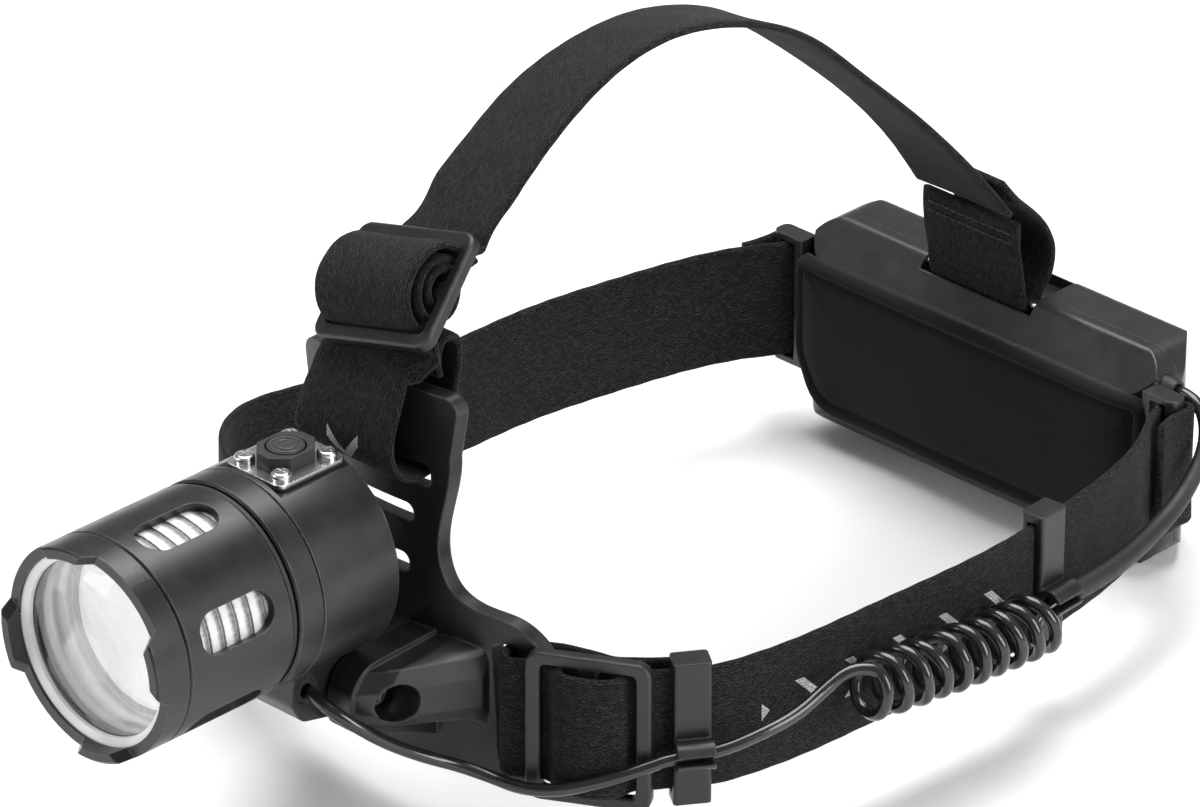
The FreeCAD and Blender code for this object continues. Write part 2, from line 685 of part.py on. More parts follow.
def make_hinge():
    hy, hz = size("hinge_y"), size("hinge_z")
    inner, outer = size("ear_inner"), size("ear_outer")
    half = size("foot_half")
    seat = outer - 2.6
    head = rod((seat + 0.02, hy, hz), (1, 0, 0), 2.9, 2.1)
    head = head.makeFillet(0.9, [e for e in head.Edges if e.BoundBox.XMin > seat + 2.0])
    shank = rod((-seat - 2.6, hy, hz), (1, 0, 0), size("pin_radius"), 2 * seat + 2.8)
    cross = Part.makeBox(1.2, 0.8, 3.4, V(seat + 1.2, hy - 0.4, hz - 1.7))
    cross = cross.fuse(Part.makeBox(1.2, 3.4, 0.8, V(seat + 1.2, hy - 1.7, hz - 0.4)))
    solid_feature("hinge_screw", head.fuse(shank).cut(cross))
    corners = [(-seat - 2.4, hy + 3.17 * math.cos(math.radians(60 * i)), hz + 3.17 * math.sin(math.radians(60 * i)))
               for i in range(6)]
    nut = plate_of(corners, 0, (2.38, 0, 0))
    solid_feature("hinge_nut", nut.cut(rod((-seat - 4, hy, hz), (1, 0, 0), size("pin_radius") + 0.02, 6)))
    washers = []
    for side in (-1, 1):
        start = half + 0.03 if side > 0 else -(inner - 0.03)
        washer = rod((start, hy, hz), (1, 0, 0), 5.0, inner - half - 0.06)
        washers.append(washer.cut(rod((start - 1, hy, hz), (1, 0, 0), size("pin_radius") + 0.1, 4)))
    solid_feature("friction_washers", Part.makeCompound(washers))


# ---------------------------------------------------------------- webbing and buckles

RIGHT_BAND = [(46.6, -64.2), (53.2, -60.4), (58.6, -56.8), (62.6, -51.0), (65.4, -42.0), (67.2, -31.0),
              (68.6, -14.7), (69.7, 9.5), (69.0, 36.6), (65.6, 58.1), (60.4, 74.0), (56.0, 82.4), (53.7, 89.0)]
LEFT_BAND = [(-46.6, -64.2), (-53.4, -60.6), (-60.8, -57.3), (-67.8, -53.0), (-73.6, -46.6), (-76.0, -38.2),
             (-74.4, -28.6), (-70.8, -17.0), (-66.8, -1.6), (-65.2, 14.0), (-64.6, 27.3), (-62.7, 42.6),
             (-59.8, 57.1), (-55.4, 72.0), (-49.4, 84.0), (-47.0, 89.0)]
SIDE_LOOP = [(47.6, -60.6), (42.6, -62.0), (38.0, -63.6), (33.6, -66.0), (30.6, -69.4), (30.3, -73.0),
             (32.2, -74.8), (35.8, -72.5), (39.8, -69.7), (47.2, -65.9)]


def make_bands():
    thick = size("web_thick")
    solid_feature("band_right", upright_band(RIGHT_BAND, thick))
    solid_feature("band_left", upright_band(LEFT_BAND, thick))
    for label, side in (("band_loop_right", 1), ("band_loop_left", -1)):
        solid_feature(label, upright_band([(side * x, y) for x, y in SIDE_LOOP], 1.2))


def tri_glide(window):
    """Rectangular slide buckle with a centre bar, drawn flat about its own middle."""
    half_long, half_wide = 12.4, window / 2 + 2.6
    thick = size("buckle_thick")
    frame = rounded_box((-half_long, -half_wide, -thick / 2), (half_long, half_wide, thick / 2), 3.0)
    bar = 1.7
    rim = 3.0
    for side in (-1, 1):
        low = (min(side * bar, side * (half_long - rim)), -window / 2, -thick)
        high = (max(side * bar, side * (half_long - rim)), window / 2, thick)
        frame = frame.cut(rounded_box(low, high, 1.2))
    edges = [e for e in frame.Edges if abs(abs(e.CenterOfMass.z) - thick / 2) < 0.01
             and e.BoundBox.XLength + e.BoundBox.YLength > 0.5]
    return frame.makeChamfer(0.35, edges)


def make_buckles():
    window = size("band_width") + 0.8
    flat = tri_glide(window)
    for label, side in (("side_buckle_right", 1), ("side_buckle_left", -1)):
        turn = FreeCAD.Rotation(V(0, 0, 1), side * 29.0).multiply(FreeCAD.Rotation(V(1, 0, 0), 90))
        solid_feature(label, flat, FreeCAD.Placement(V(side * 47.8, -67.9, 0), turn))
    tilt = FreeCAD.Rotation(V(0, 1, 0), -15.0).multiply(FreeCAD.Rotation(V(1, 0, 0), 42.0))
    across = FreeCAD.Rotation(V(0, 0, 1), 90)
    solid_feature("top_buckle", flat, FreeCAD.Placement(V(0, -70.8, 78.2), tilt.multiply(across)))


TOP_STRAP = [(-57.4, 84.5, 15), (-51.0, 90.7, 16), (-43.5, 96.6, 17), (-32.0, 103.4, 18), (-20.0, 107.6, 19),
             (-8.0, 109.2, 18), (4.0, 108.2, 14), (16.0, 104.6, 10), (29.0, 98.0, 5), (43.0, 87.4, 0),
             (57.0, 75.0, -2), (70.0, 62.0, -3), (81.0, 49.8, -2), (88.4, 40.0, 0)]
FRONT_LOOP = [(-77.2, 66.2), (-79.2, 63.6), (-81.4, 60.2), (-83.6, 55.4), (-84.2, 49.6), (-80.6, 45.6),
              (-76.0, 45.0), (-71.6, 46.6), (-69.2, 52.0), (-68.0, 58.6), (-67.0, 63.6), (-66.8, 67.0),
              (-68.4, 69.8), (-70.6, 69.0)]
REAR_LOOP = [(90.6, 37.0), (90.8, 30.0), (92.3, 22.6), (93.05, 17.7), (93.65, 16.25), (95.1, 15.65),
             (96.55, 16.25), (97.15, 17.7),
             (100.4, 22.6), (101.0, 28.6), (98.6, 33.8), (94.9, 38.1), (90.8, 42.0), (86.1, 47.6)]


def make_top_strap():
    solid_feature("top_strap", ribbon(TOP_STRAP, size("band_width"), size("web_thick")))
    solid_feature("top_strap_front_loop", fore_and_aft_band(FRONT_LOOP, 1.2))
    solid_feature("top_strap_rear_loop", fore_and_aft_band(REAR_LOOP, 1.2))


# ---------------------------------------------------------------- battery box

GLAND_Y, GLAND_Z = 93.6, 13.4
PORT_X = 39.9


def shell_solid(plan, plan_radii, side_profile, profile_radii, shrink):
    """Plan outline pushed up, kept only inside a side profile and an end-to-end profile."""
    low = -60
    upright = plate_of([(x, y, low) for x, y in plan], plan_radii, (0, 0, 120))
    across = plate_of([(-70, y, z) for y, z in side_profile], profile_radii, (140, 0, 0))
    left, right = shrink - size("box_left"), size("box_right") - shrink
    bottom, top = size("box_bottom_z") + shrink, size("box_top_z") - shrink
    ends = plate_of([(left, 60, bottom), (right, 60, bottom), (right, 60, top), (left, 60, top)],
                    [11.0 - shrink, 4.0 - shrink, 7.0 - shrink, 7.0 - shrink], (0, 80, 0))
    return upright.common(across).common(ends)


def tray_solid(shrink):
    """Front half of the box, with a slope from its front face to its top."""
    left, right = shrink - size("box_left"), size("box_right") - shrink
    front = size("box_front_y") + shrink
    back = size("box_split_y") + (0.01 if shrink else 0)
    low, high = size("box_bottom_z") + shrink, size("box_top_z") - shrink
    slope_foot_z = size("box_top_z") - 7.8 - 0.4 * shrink
    slope_head_y = size("box_front_y") + 7.4 + 0.43 * shrink
    plan = [(left, back), (left, front), (right, front), (right, back)]
    profile = [(back, low), (front, low), (front, slope_foot_z), (slope_head_y, high), (back, high)]
    return shell_solid(plan, [0, 8.0 - shrink, 8.0 - shrink, 0],
                       profile, [0, 5.0 - shrink, 3.0, 2.5, 0], shrink)


def cover_solid(shrink):
    """Back half of the box: round at both ends, with a hump over its middle."""
    left, right = shrink - size("box_left"), size("box_right") - shrink
    front = size("box_split_y") + 0.1 - (0.01 if shrink else 0)
    back = size("box_back_y") - shrink
    hump = size("hump_back_y") - shrink
    low, high = size("box_bottom_z") + shrink, size("box_top_z") - shrink
    turn_y, turn_x = size("box_split_y") + 2.0, 9.0
    plan = [(left, front), (right, front), (right, turn_y), (right - turn_x, back), (26.0, back),
            (17.0, hump), (-17.0, hump), (-26.0, back), (left + turn_x, back), (left, turn_y)]
    profile = [(front, low), (hump - 9.5, low), (hump + 0.1, low + 9.2), (hump + 0.1, high - 9.2),
               (hump - 9.5, high), (front, high)]
    return shell_solid(plan, [0, 0, 4.6, 5.0, 4, 3, 3, 4, 5.0, 4.6], profile, [0, 4, 4, 4, 4, 0], shrink)


def make_box():
    split = size("box_split_y")
    top = size("box_top_z")
    wall = size("box_wall")
    tray = tray_solid(0).cut(tray_solid(wall))
    cover = cover_solid(0).cut(cover_solid(wall))

    # well in the top for the rear strap loop: floor and sides belong to the two shells
    floor_z, floor = top - 5.8, 1.2
    side = 1.4
    well_half, well_front, well_back = 15.0, 91.9, 108.0
    well = Part.makeBox(2 * well_half, well_back - well_front, 12, V(-well_half, well_front, floor_z + floor))
    lining = Part.makeBox(2 * (well_half + side), well_back - well_front + 2 * side, top - floor_z,
                          V(-well_half - side, well_front - side, floor_z))
    before = Part.makeBox(120, 60, 120, V(-60, split - 60, -60))
    behind = Part.makeBox(120, 60, 120, V(-60, split + 0.1, -60))
    tray = tray.fuse(lining.common(tray_solid(0.3)).common(before)).cut(well)
    cover = cover.fuse(lining.common(cover_solid(0.3)).common(behind)).cut(well)
    bar_y, bar_z = 95.1, top - 1.6
    solid_feature("strap_bar", rod((-well_half - 0.6, bar_y, bar_z), (1, 0, 0), 1.2, 2 * well_half + 1.2))
    tray = tray.cut(rod((-well_half - 0.7, bar_y, bar_z), (1, 0, 0), 1.25, 2 * well_half + 1.4))

    # end lugs that the band is folded round
    lug_front, lug_back, lug_half_z, lug_reach = 86.9, 91.2, 14.6, 7.2
    for hand, reach in ((-1, size("box_left")), (1, size("box_right"))):
        root, tip = hand * (reach - 1.0), hand * (reach + lug_reach)
        lug = plate_of([(root, lug_front, -lug_half_z), (tip, lug_front, -lug_half_z),
                        (tip, lug_back, -lug_half_z), (root, lug_back, -lug_half_z)],
                       [0, 1.6, 1.6, 0], (0, 0, 2 * lug_half_z))
        gap = Part.makeBox(4.0, 12.0, 2 * lug_half_z - 2.6, V(hand * (reach + 3.0) - 2.0, 84.0, 1.3 - lug_half_z))
        tray = tray.fuse(lug.cut(gap).cut(tray_solid(wall)))
    tray = tray.cut(rod((size("box_right") - 4, GLAND_Y, GLAND_Z), (1, 0, 0), 2.3, 8))
    tray = tray.cut(rounded_box((PORT_X - 5.0, 91.4, -30), (PORT_X + 5.0, 94.6, -24), 1.2))

    # seal in a groove round the tray's rim
    rim = Part.makeBox(120, 0.6, 120, V(-60, split - 0.55, -60))
    groove = tray_solid(0.45).cut(tray_solid(1.35)).common(Part.makeBox(120, 0.9, 120, V(-60, split - 0.6, -60)))
    seal = tray_solid(0.5).cut(tray_solid(1.3)).common(rim)
    opening = Part.makeBox(2 * (well_half + side), 20, 30, V(-well_half - side, 88, floor_z))
    solid_feature("box_gasket", seal.cut(opening))
    tray = tray.cut(groove.cut(opening))
    solid_feature("battery_tray", tray.removeSplitter())
    solid_feature("battery_cover", cover.removeSplitter())


def make_box_inside():
    """Two cells end to end with their contacts, and the charging board beside them."""
    wall = size("box_wall")
    radius = size("cell_radius")
    length = size("cell_length")
    start = size("cell_start")
    cell_y = size("box_front_y") + wall + radius + 0.25
    lowest = size("box_bottom_z") + wall + 0.2 + radius
    heights = [lowest + 2 * radius + 0.3, lowest]
    for label, z in zip(("cell_upper", "cell_lower"), heights):
        cell = rod((start, cell_y, z), (1, 0, 0), radius, length)
        nub = rod((start + length, cell_y, z), (1, 0, 0), 3.2, 1.4)
        solid_feature(label, cell.fuse(nub).removeSplitter())
    spring_x = start - 5.2
    springs = []
    plates = []
    for z in heights:
        foot = V(spring_x, cell_y - 1.5, z)
        coil = Part.makeCone(4.6, 2.6, 5.1, foot, V(1, 0, 0))
        springs.append(coil.cut(Part.makeCone(3.6, 1.6, 5.1, foot, V(1, 0, 0))))
        plates.append(Part.makeBox(0.5, 11.0, 12.0, V(start + length + 1.5, cell_y - 5.5, z - 6)))
    spring_plate = Part.makeBox(0.5, 8.4, 33.0, V(spring_x - 0.6, cell_y - 5.6, lowest - 7.4))
    solid_feature("contact_springs", Part.makeCompound(springs + [spring_plate]))
    solid_feature("contact_plates", Part.makeCompound(plates))
    board = Part.makeBox(10.6, 1.6, 32.0, V(PORT_X - 4.7, 89.6, lowest - 7.0))
    solid_feature("charge_board", board)
    floor_z = size("box_bottom_z") + wall + 0.2
    socket = rounded_box((PORT_X - 4.6, 91.25, floor_z), (PORT_X + 4.6, 94.55, -16.8), 1.0)
    mouth = rounded_box((PORT_X - 3.4, 92.2, -30), (PORT_X + 3.4, 93.6, -19.5), 0.6)
    solid_feature("charge_socket", socket.cut(mouth))


def make_port_plug():
    """Rubber plug over the charging socket, hinged on a living strip at its outer end."""
    low = size("box_bottom_z")
    flap = rounded_box((PORT_X - 6.4, 90.9, low - 1.5), (PORT_X + 6.4, 95.1, low - 0.3), 1.4)
    boss = rounded_box((PORT_X - 4.4, 91.8, low - 0.4), (PORT_X + 4.4, 94.2, low + 1.5), 0.9)
    hinge_bead = rod((PORT_X + 6.4, 91.4, low - 0.9), (0, 1, 0), 0.6, 3.2)
    solid_feature("port_plug", flap.fuse([boss, hinge_bead]).removeSplitter())


def make_pad():
    """Soft lined pad between the box and the head."""
    face = [(x, 84.0, z) for x, z in ((-44.5, -10), (-37, -21), (42, -21), (51, -10), (51, 12.5), (-44.5, 12.5))]
    pad = plate_of(face, [7, 9, 9, 7, 5, 5], (0, 2.5, 0))
    solid_feature("head_pad", pad)


# ---------------------------------------------------------------- lead and its clips

CORD_FRONT = [(8.9, -104.0, 7.6), (13.4, -104.6, 6.8), (18.0, -101.6, 3.2), (20.4, -95.4, -2.4),
              (23.0, -88.0, -7.4), (26.8, -81.6, -10.6), (32.2, -78.2, -12.4), (38.6, -77.6, -12.4),
              (45.4, -75.6, -11.2), (52.0, -72.0, -8.6), (58.4, -67.2, -5.4), (62.1, -60.1, -3.5),
              (67.2, -52.9, -3.2), (70.9, -45.2, -1.0), (73.0, -36.8, 0.9), (74.0, -28.8, 1.7), (74.2, -22.4, 1.8)]
CORD_REAR = [(74.4, 30.9, -2.8), (73.7, 36.4, -3.0), (73.5, 43.0, -3.2), (72.4, 52.0, -3.6), (70.4, 61.6, -3.8),
             (68.0, 71.2, -3.4), (66.4, 79.6, -1.4), (65.0, 86.4, 2.4), (63.4, 90.4, 6.4), (61.2, 92.8, 10.4),
             (57.6, 93.6, 13.4), (53.4, 93.6, 13.4)]
COIL = [(75.9, -22.2, 1.4), (77.9, 6.0, -1.0), (77.0, 30.7, -3.2)]


def route_radii(points):
    """Largest tangent arc at each corner: 0.45 of its shorter run over tan of half the turn."""
    points = [V(*p) for p in points]
    radii = [0.0]
    for before, corner, after in zip(points, points[1:], points[2:]):
        back, ahead = before - corner, after - corner
        half_turn = (math.pi - back.getAngle(ahead)) / 2
        radii.append(0.45 * min(back.Length, ahead.Length) / math.tan(half_turn))
    return radii + [0.0]


def route_edges(points):
    """Runs and tangent arcs in turn: run, arc, run, ... run."""
    radii = route_radii(points)
    print("radii", [round(r, 1) for r in radii[1:-1]])
    return rounded_wire(points, radii, closed=False).OrderedEdges


def tube(edges, radius):
    path = Part.Wire(edges)
    start = edges[0].valueAt(edges[0].FirstParameter)
    heading = edges[0].tangentAt(edges[0].FirstParameter)
    section = Part.Wire(Part.Circle(start, heading, radius).toShape())
    solid = path.makePipeShell([section], True, False)
    print("length", round(path.Length, 1), "volume ratio",
          round(solid.Volume / (math.pi * radius ** 2 * path.Length), 4))
    return solid


def halves(run):
    """One straight run cut at its middle."""
    start, stop = run.valueAt(run.FirstParameter), run.valueAt(run.LastParameter)
    middle = (start + stop) * 0.5
    return Part.LineSegment(start, middle).toShape(), Part.LineSegment(middle, stop).toShape()


def make_lead():
    radius = size("cord_radius")
    front = route_edges(CORD_FRONT)
    split_run = 2
    near, far = halves(front[2 * split_run])
    solid_feature("cord_lamp_end", tube(front[:2 * split_run] + [near], radius))
    solid_feature("cord_front", tube([far] + front[2 * split_run + 1:], radius))
    solid_feature("cord_rear", tube(route_edges(CORD_REAR), radius))
    solid_feature("cord_coil", tube(route_edges(COIL), size("coil_radius")))


def clip_at(centre, heading, holder_z, holder_side=1):
    """Moulded clip folded round the band, with a C-shaped lead holder on its outer face."""
    half = size("band_width") / 2
    thick = size("web_thick")
    wide = 7.4
    inner = rounded_box((-wide / 2, -thick / 2 - 0.35, -half - 0.4), (wide / 2, thick / 2 + 0.35, half + 0.4), 0.2)
    outer = rounded_box((-wide / 2, -thick / 2 - 2.0, -half - 2.2), (wide / 2, thick / 2 + 2.0, half + 2.2), 0.8)
    slit = Part.makeBox(wide + 2, 6, half * 0.9, V(-wide / 2 - 1, thick / 2 + 0.1, -half * 0.45))
    shell = outer.cut(inner.fuse(Part.makeBox(wide + 2, thick + 0.7, 2 * half + 0.8,
                                              V(-wide / 2 - 1, -thick / 2 - 0.35, -half - 0.4)))).cut(slit)
    reach = size("cord_radius") + 0.35
    out = -thick / 2 - 2.0 - reach - 0.2
    holder = rod((-wide / 2, out, holder_z), (1, 0, 0), reach + 1.3, wide)
    neck = Part.makeBox(wide, 3.0, 3.4, V(-wide / 2, out - 0.2, holder_z - 1.7))
    bore = rod((-wide / 2 - 1, out, holder_z), (1, 0, 0), reach, wide + 2)
    mouth = Part.makeBox(wide + 2, reach + 4, 1.8, V(-wide / 2 - 1, out - reach - 3.4, holder_z - 0.9))
    holder = holder.fuse(neck).cut(bore).cut(mouth)
    shape = shell.fuse(holder).removeSplitter()
    turn = FreeCAD.Rotation(V(0, 0, 1), heading)
    return shape, FreeCAD.Placement(V(*centre), turn)


def make_clips():
    shape, place = clip_at((60.9, -53.9, 0), 55.2, -3.4)
    solid_feature("cable_clip_front", shape, place)
    shape, place = clip_at((69.05, 36.4, 0), 93.0, -3.0)
    solid_feature("cable_clip_rear", shape, place)
    end = size("box_right")
    gland = rod((end - 3.6, GLAND_Y, GLAND_Z), (1, 0, 0), 2.2, 4.4)
    gland = gland.fuse(Part.makeCone(2.2, 1.9, 1.8, V(end + 0.8, GLAND_Y, GLAND_Z), V(1, 0, 0)))
    gland = gland.cut(rod((end - 5, GLAND_Y, GLAND_Z), (1, 0, 0), size("cord_radius") + 0.1, 14))
    solid_feature("box_gland", gland)


make_zoom_head()
make_lamp_tube()
make_light_engine()
make_switch()
make_foot()
make_forehead_plate()
make_hinge()
make_bands()
make_buckles()
make_top_strap()
make_box()
make_box_inside()
make_port_plug()
make_pad()
make_lead()
make_clips()

doc.recompute()
for item in doc.Objects:
    if "Invalid" in item.State or "Error" in item.State:
        raise RuntimeError(f"{item.Label}: {item.State}")
os.makedirs("parts", exist_ok=True)
for item in parts:
    shape = item.Shape
    if shape.isNull() or not shape.isValid():
        raise RuntimeError(f"{item.Label}: bad shape")
    shape.exportStep(os.path.join("parts", item.Label + ".step"))
    print(f"{item.Label:24s} solids {len(shape.Solids)} volume {shape.Volume:9.1f}")
print(len(parts), "nodes")
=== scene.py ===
"""Zooming head-lamp on an elastic harness: its looks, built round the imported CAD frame.

Lengths are in metres, except where a list of points is said to be in millimetres.
"""
import math
import random

import bmesh
import bpy
import numpy as np
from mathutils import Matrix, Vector


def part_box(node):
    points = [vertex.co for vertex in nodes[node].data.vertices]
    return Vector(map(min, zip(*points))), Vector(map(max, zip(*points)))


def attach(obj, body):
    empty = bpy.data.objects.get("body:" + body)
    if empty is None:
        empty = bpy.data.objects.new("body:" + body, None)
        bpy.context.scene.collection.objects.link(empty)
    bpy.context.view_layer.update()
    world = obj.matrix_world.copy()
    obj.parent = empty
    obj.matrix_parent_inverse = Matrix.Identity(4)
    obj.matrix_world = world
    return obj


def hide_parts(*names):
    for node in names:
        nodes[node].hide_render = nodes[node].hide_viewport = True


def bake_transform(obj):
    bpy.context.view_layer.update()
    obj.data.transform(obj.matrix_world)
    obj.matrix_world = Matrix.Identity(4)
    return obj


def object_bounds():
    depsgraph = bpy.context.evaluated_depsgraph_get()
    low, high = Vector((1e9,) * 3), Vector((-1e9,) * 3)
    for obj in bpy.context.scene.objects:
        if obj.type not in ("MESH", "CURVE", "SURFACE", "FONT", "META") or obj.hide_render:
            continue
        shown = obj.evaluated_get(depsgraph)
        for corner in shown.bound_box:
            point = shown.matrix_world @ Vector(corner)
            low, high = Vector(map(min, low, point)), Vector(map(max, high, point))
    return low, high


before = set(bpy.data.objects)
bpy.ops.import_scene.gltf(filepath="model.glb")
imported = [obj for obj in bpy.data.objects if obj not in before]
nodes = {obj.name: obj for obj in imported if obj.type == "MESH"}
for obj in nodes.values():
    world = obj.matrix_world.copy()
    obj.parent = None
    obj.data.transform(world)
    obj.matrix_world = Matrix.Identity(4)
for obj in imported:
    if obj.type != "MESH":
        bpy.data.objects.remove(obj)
cad_box = [[float(v) for v in corner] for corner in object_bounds()]
MM = 0.001
RIGHT = Vector((1, 0, 0))


# ---------------------------------------------------------------- camera

AIM_FROM_MIDDLE = Vector((1.4, -1.85, -6.84)) * MM
AZIMUTH, ELEVATION = 44.33, 28.04
CAMERA_DISTANCE = 1.931
FOCAL_LENGTH, SENSOR_WIDTH = 300, 36


def make_camera():
    """Long lens, far off, so that the view is nearly parallel."""
    low, high = (Vector(corner) for corner in cad_box)
    aim = (low + high) / 2 + AIM_FROM_MIDDLE
    azimuth, elevation = math.radians(AZIMUTH), math.radians(ELEVATION)
    away = Vector((math.sin(azimuth) * math.cos(elevation), -math.cos(azimuth) * math.cos(elevation),
                   math.sin(elevation)))
    camera = bpy.data.cameras.new("camera")
    camera.lens = FOCAL_LENGTH
    camera.sensor_width = SENSOR_WIDTH
    camera.clip_start = 0.05
    item = bpy.data.objects.new("camera", camera)
    item.location = aim + away * CAMERA_DISTANCE
    item.rotation_euler = away.to_track_quat("Z", "Y").to_euler()
    bpy.context.collection.objects.link(item)
    bpy.context.scene.camera = item


# ---------------------------------------------------------------- mesh helpers

def mesh_object(name, points, faces, finish=None, uvs=None):
    """A smooth-shaded mesh; uvs, where given, hold one (u, v) for each corner of each face."""
    mesh = bpy.data.meshes.new(name)
    mesh.from_pydata([tuple(p) for p in points], [], faces)
    if uvs:
        layer = mesh.uv_layers.new(name="UVMap")
        flat = [number for face in uvs for corner in face for number in corner]
        layer.data.foreach_set("uv", flat)
    mesh.shade_smooth()
    mesh.update()
    item = bpy.data.objects.new(name, mesh)
    bpy.context.collection.objects.link(item)
    if finish:
        mesh.materials.append(finish)
    return item


def smooth_through(rows, step):
    """Rows about a step apart on a natural cubic spline through the given rows.

    The first three columns of a row are a place, and the rest follow it.
    """
    rows = np.array(rows, float)
    gaps = np.linalg.norm(np.diff(rows[:, :3], axis=0), axis=1)
    knots = np.concatenate([[0.0], np.cumsum(gaps)])
    count = len(rows)
    system = np.eye(count)
    right = np.zeros_like(rows)
    for i in range(1, count - 1):
        system[i, i - 1:i + 2] = gaps[i - 1], 2 * (gaps[i - 1] + gaps[i]), gaps[i]
        right[i] = 6 * ((rows[i + 1] - rows[i]) / gaps[i] - (rows[i] - rows[i - 1]) / gaps[i - 1])
    bend = np.linalg.solve(system, right)
    made = []
    for at in np.linspace(0, knots[-1], max(int(knots[-1] / step), 2) + 1):
        i = min(int(np.searchsorted(knots, at, side="right")) - 1, count - 2)
        gap, ahead, behind = gaps[i], knots[i + 1] - at, at - knots[i]
        made.append((bend[i] * ahead ** 3 + bend[i + 1] * behind ** 3) / (6 * gap)
                    + (rows[i] / gap - bend[i] * gap / 6) * ahead
                    + (rows[i + 1] / gap - bend[i + 1] * gap / 6) * behind)
    return made


def swept_rings(path, ring_at):
    """Points of one ring per path point; ring_at gives the offsets from (index, side, lift)."""
    rings = []
    side = None
    for i, place in enumerate(path):
        run = (path[min(i + 1, len(path) - 1)] - path[max(i - 1, 0)]).normalized()
        if side is None:
            side = run.orthogonal().normalized()
        side = (side - run * side.dot(run)).normalized()
        lift = run.cross(side)
        rings.append([place + offset for offset in ring_at(i, side, lift)])
    return rings


def tube(name, path, radius_at, sides, finish):
    """Round tube along a path, closed at both ends."""
    def ring(i, side, lift):
        radius = radius_at(i / (len(path) - 1))
        turns = [2 * math.pi * k / sides for k in range(sides)]
        return [(side * math.cos(t) + lift * math.sin(t)) * radius for t in turns]

    rings = swept_rings(path, ring)
    points = [p for r in rings for p in r]
    faces = []
    for i in range(len(rings) - 1):
        for k in range(sides):
            after = (k + 1) % sides
            faces.append((i * sides + k, i * sides + after, (i + 1) * sides + after, (i + 1) * sides + k))
    faces.append(tuple(range(sides))[::-1])
    last = (len(rings) - 1) * sides
    faces.append(tuple(range(last, last + sides)))
    return mesh_object(name, points, faces, finish)


# ---------------------------------------------------------------- node helpers

def new_finish(name, **sockets):
    """A material with one Principled shader; underscores in a socket's name stand for spaces."""
    material = bpy.data.materials.new(name)
    material.use_nodes = True
    shader = material.node_tree.nodes["Principled BSDF"]
    for socket, value in sockets.items():
        shader.inputs[socket.replace("_", " ")].default_value = value
    return material.node_tree, shader, material


def node(tree, kind, settings=None, **sockets):
    """A node with its settings and inputs; an input takes a number or the socket it is linked to."""
    made = tree.nodes.new("ShaderNode" + kind)
    for name, value in (settings or {}).items():
        setattr(made, name, value)
    for name, value in sockets.items():
        socket = made.inputs[int(name[1:])] if name[0] == "i" and name[1:].isdigit() else \
            made.inputs[name.replace("_", " ")]
        if isinstance(value, bpy.types.NodeSocket):
            tree.links.new(value, socket)
        else:
            socket.default_value = value
    return made


def grey(value, warmth=0.0):
    return (value * (1 + warmth), value, value * (1 - warmth), 1)


def place_of(tree):
    return node(tree, "TexCoord").outputs["Object"]


def noise(tree, scale, detail=2.0, rough=0.5, stretch=None):
    """Noise of about one patch per 1/scale metres, drawn out along an axis where stretch says so."""
    place = place_of(tree)
    if stretch:
        place = node(tree, "Mapping", Vector=place, Scale=stretch).outputs["Vector"]
    made = node(tree, "TexNoise", Vector=place, Scale=scale, Detail=detail, Roughness=rough)
    return made.outputs["Fac"]


def blend_colours(tree, factor, dark, light, low=0.3, high=0.7):
    ramp = node(tree, "ValToRGB", Fac=factor)
    ramp.color_ramp.elements[0].position = low
    ramp.color_ramp.elements[0].color = dark
    ramp.color_ramp.elements[1].position = high
    ramp.color_ramp.elements[1].color = light
    return ramp.outputs["Color"]


def spread(tree, factor, low, high):
    """Carries a 0.3 to 0.7 noise to a low to high number."""
    made = node(tree, "MapRange", Value=factor)
    made.inputs["From Min"].default_value = 0.3
    made.inputs["From Max"].default_value = 0.7
    made.inputs["To Min"].default_value = low
    made.inputs["To Max"].default_value = high
    return made.outputs["Result"]


def soft_edges(tree, radius):
    return node(tree, "Bevel", {"samples": 4}, Radius=radius).outputs["Normal"]


def edge_mask(tree, rounded):
    """1 on an edge, 0 on a face, from how far the rounded normal leans off the true one."""
    true = node(tree, "NewGeometry").outputs["Normal"]
    lean = node(tree, "VectorMath", {"operation": "DOT_PRODUCT"}, i0=rounded, i1=true).outputs["Value"]
    made = node(tree, "MapRange", Value=lean)
    made.inputs["From Min"].default_value = 0.995
    made.inputs["From Max"].default_value = 0.9
    return made.outputs["Result"]


def relief(tree, height, distance, strength=1.0, normal=None):
    made = node(tree, "Bump", Height=height, Distance=distance, Strength=strength)
    if normal:
        tree.links.new(normal, made.inputs["Normal"])
    return made.outputs["Normal"]


def math_node(tree, operation, first, second=0.0, third=0.0):
    return node(tree, "Math", {"operation": operation}, i0=first, i1=second, i2=third).outputs["Value"]


def mix_colours(tree, factor, first, second):
    made = node(tree, "Mix", {"data_type": "RGBA"}, i0=factor, i6=first, i7=second)
    return made.outputs[2]


# ---------------------------------------------------------------- finishes

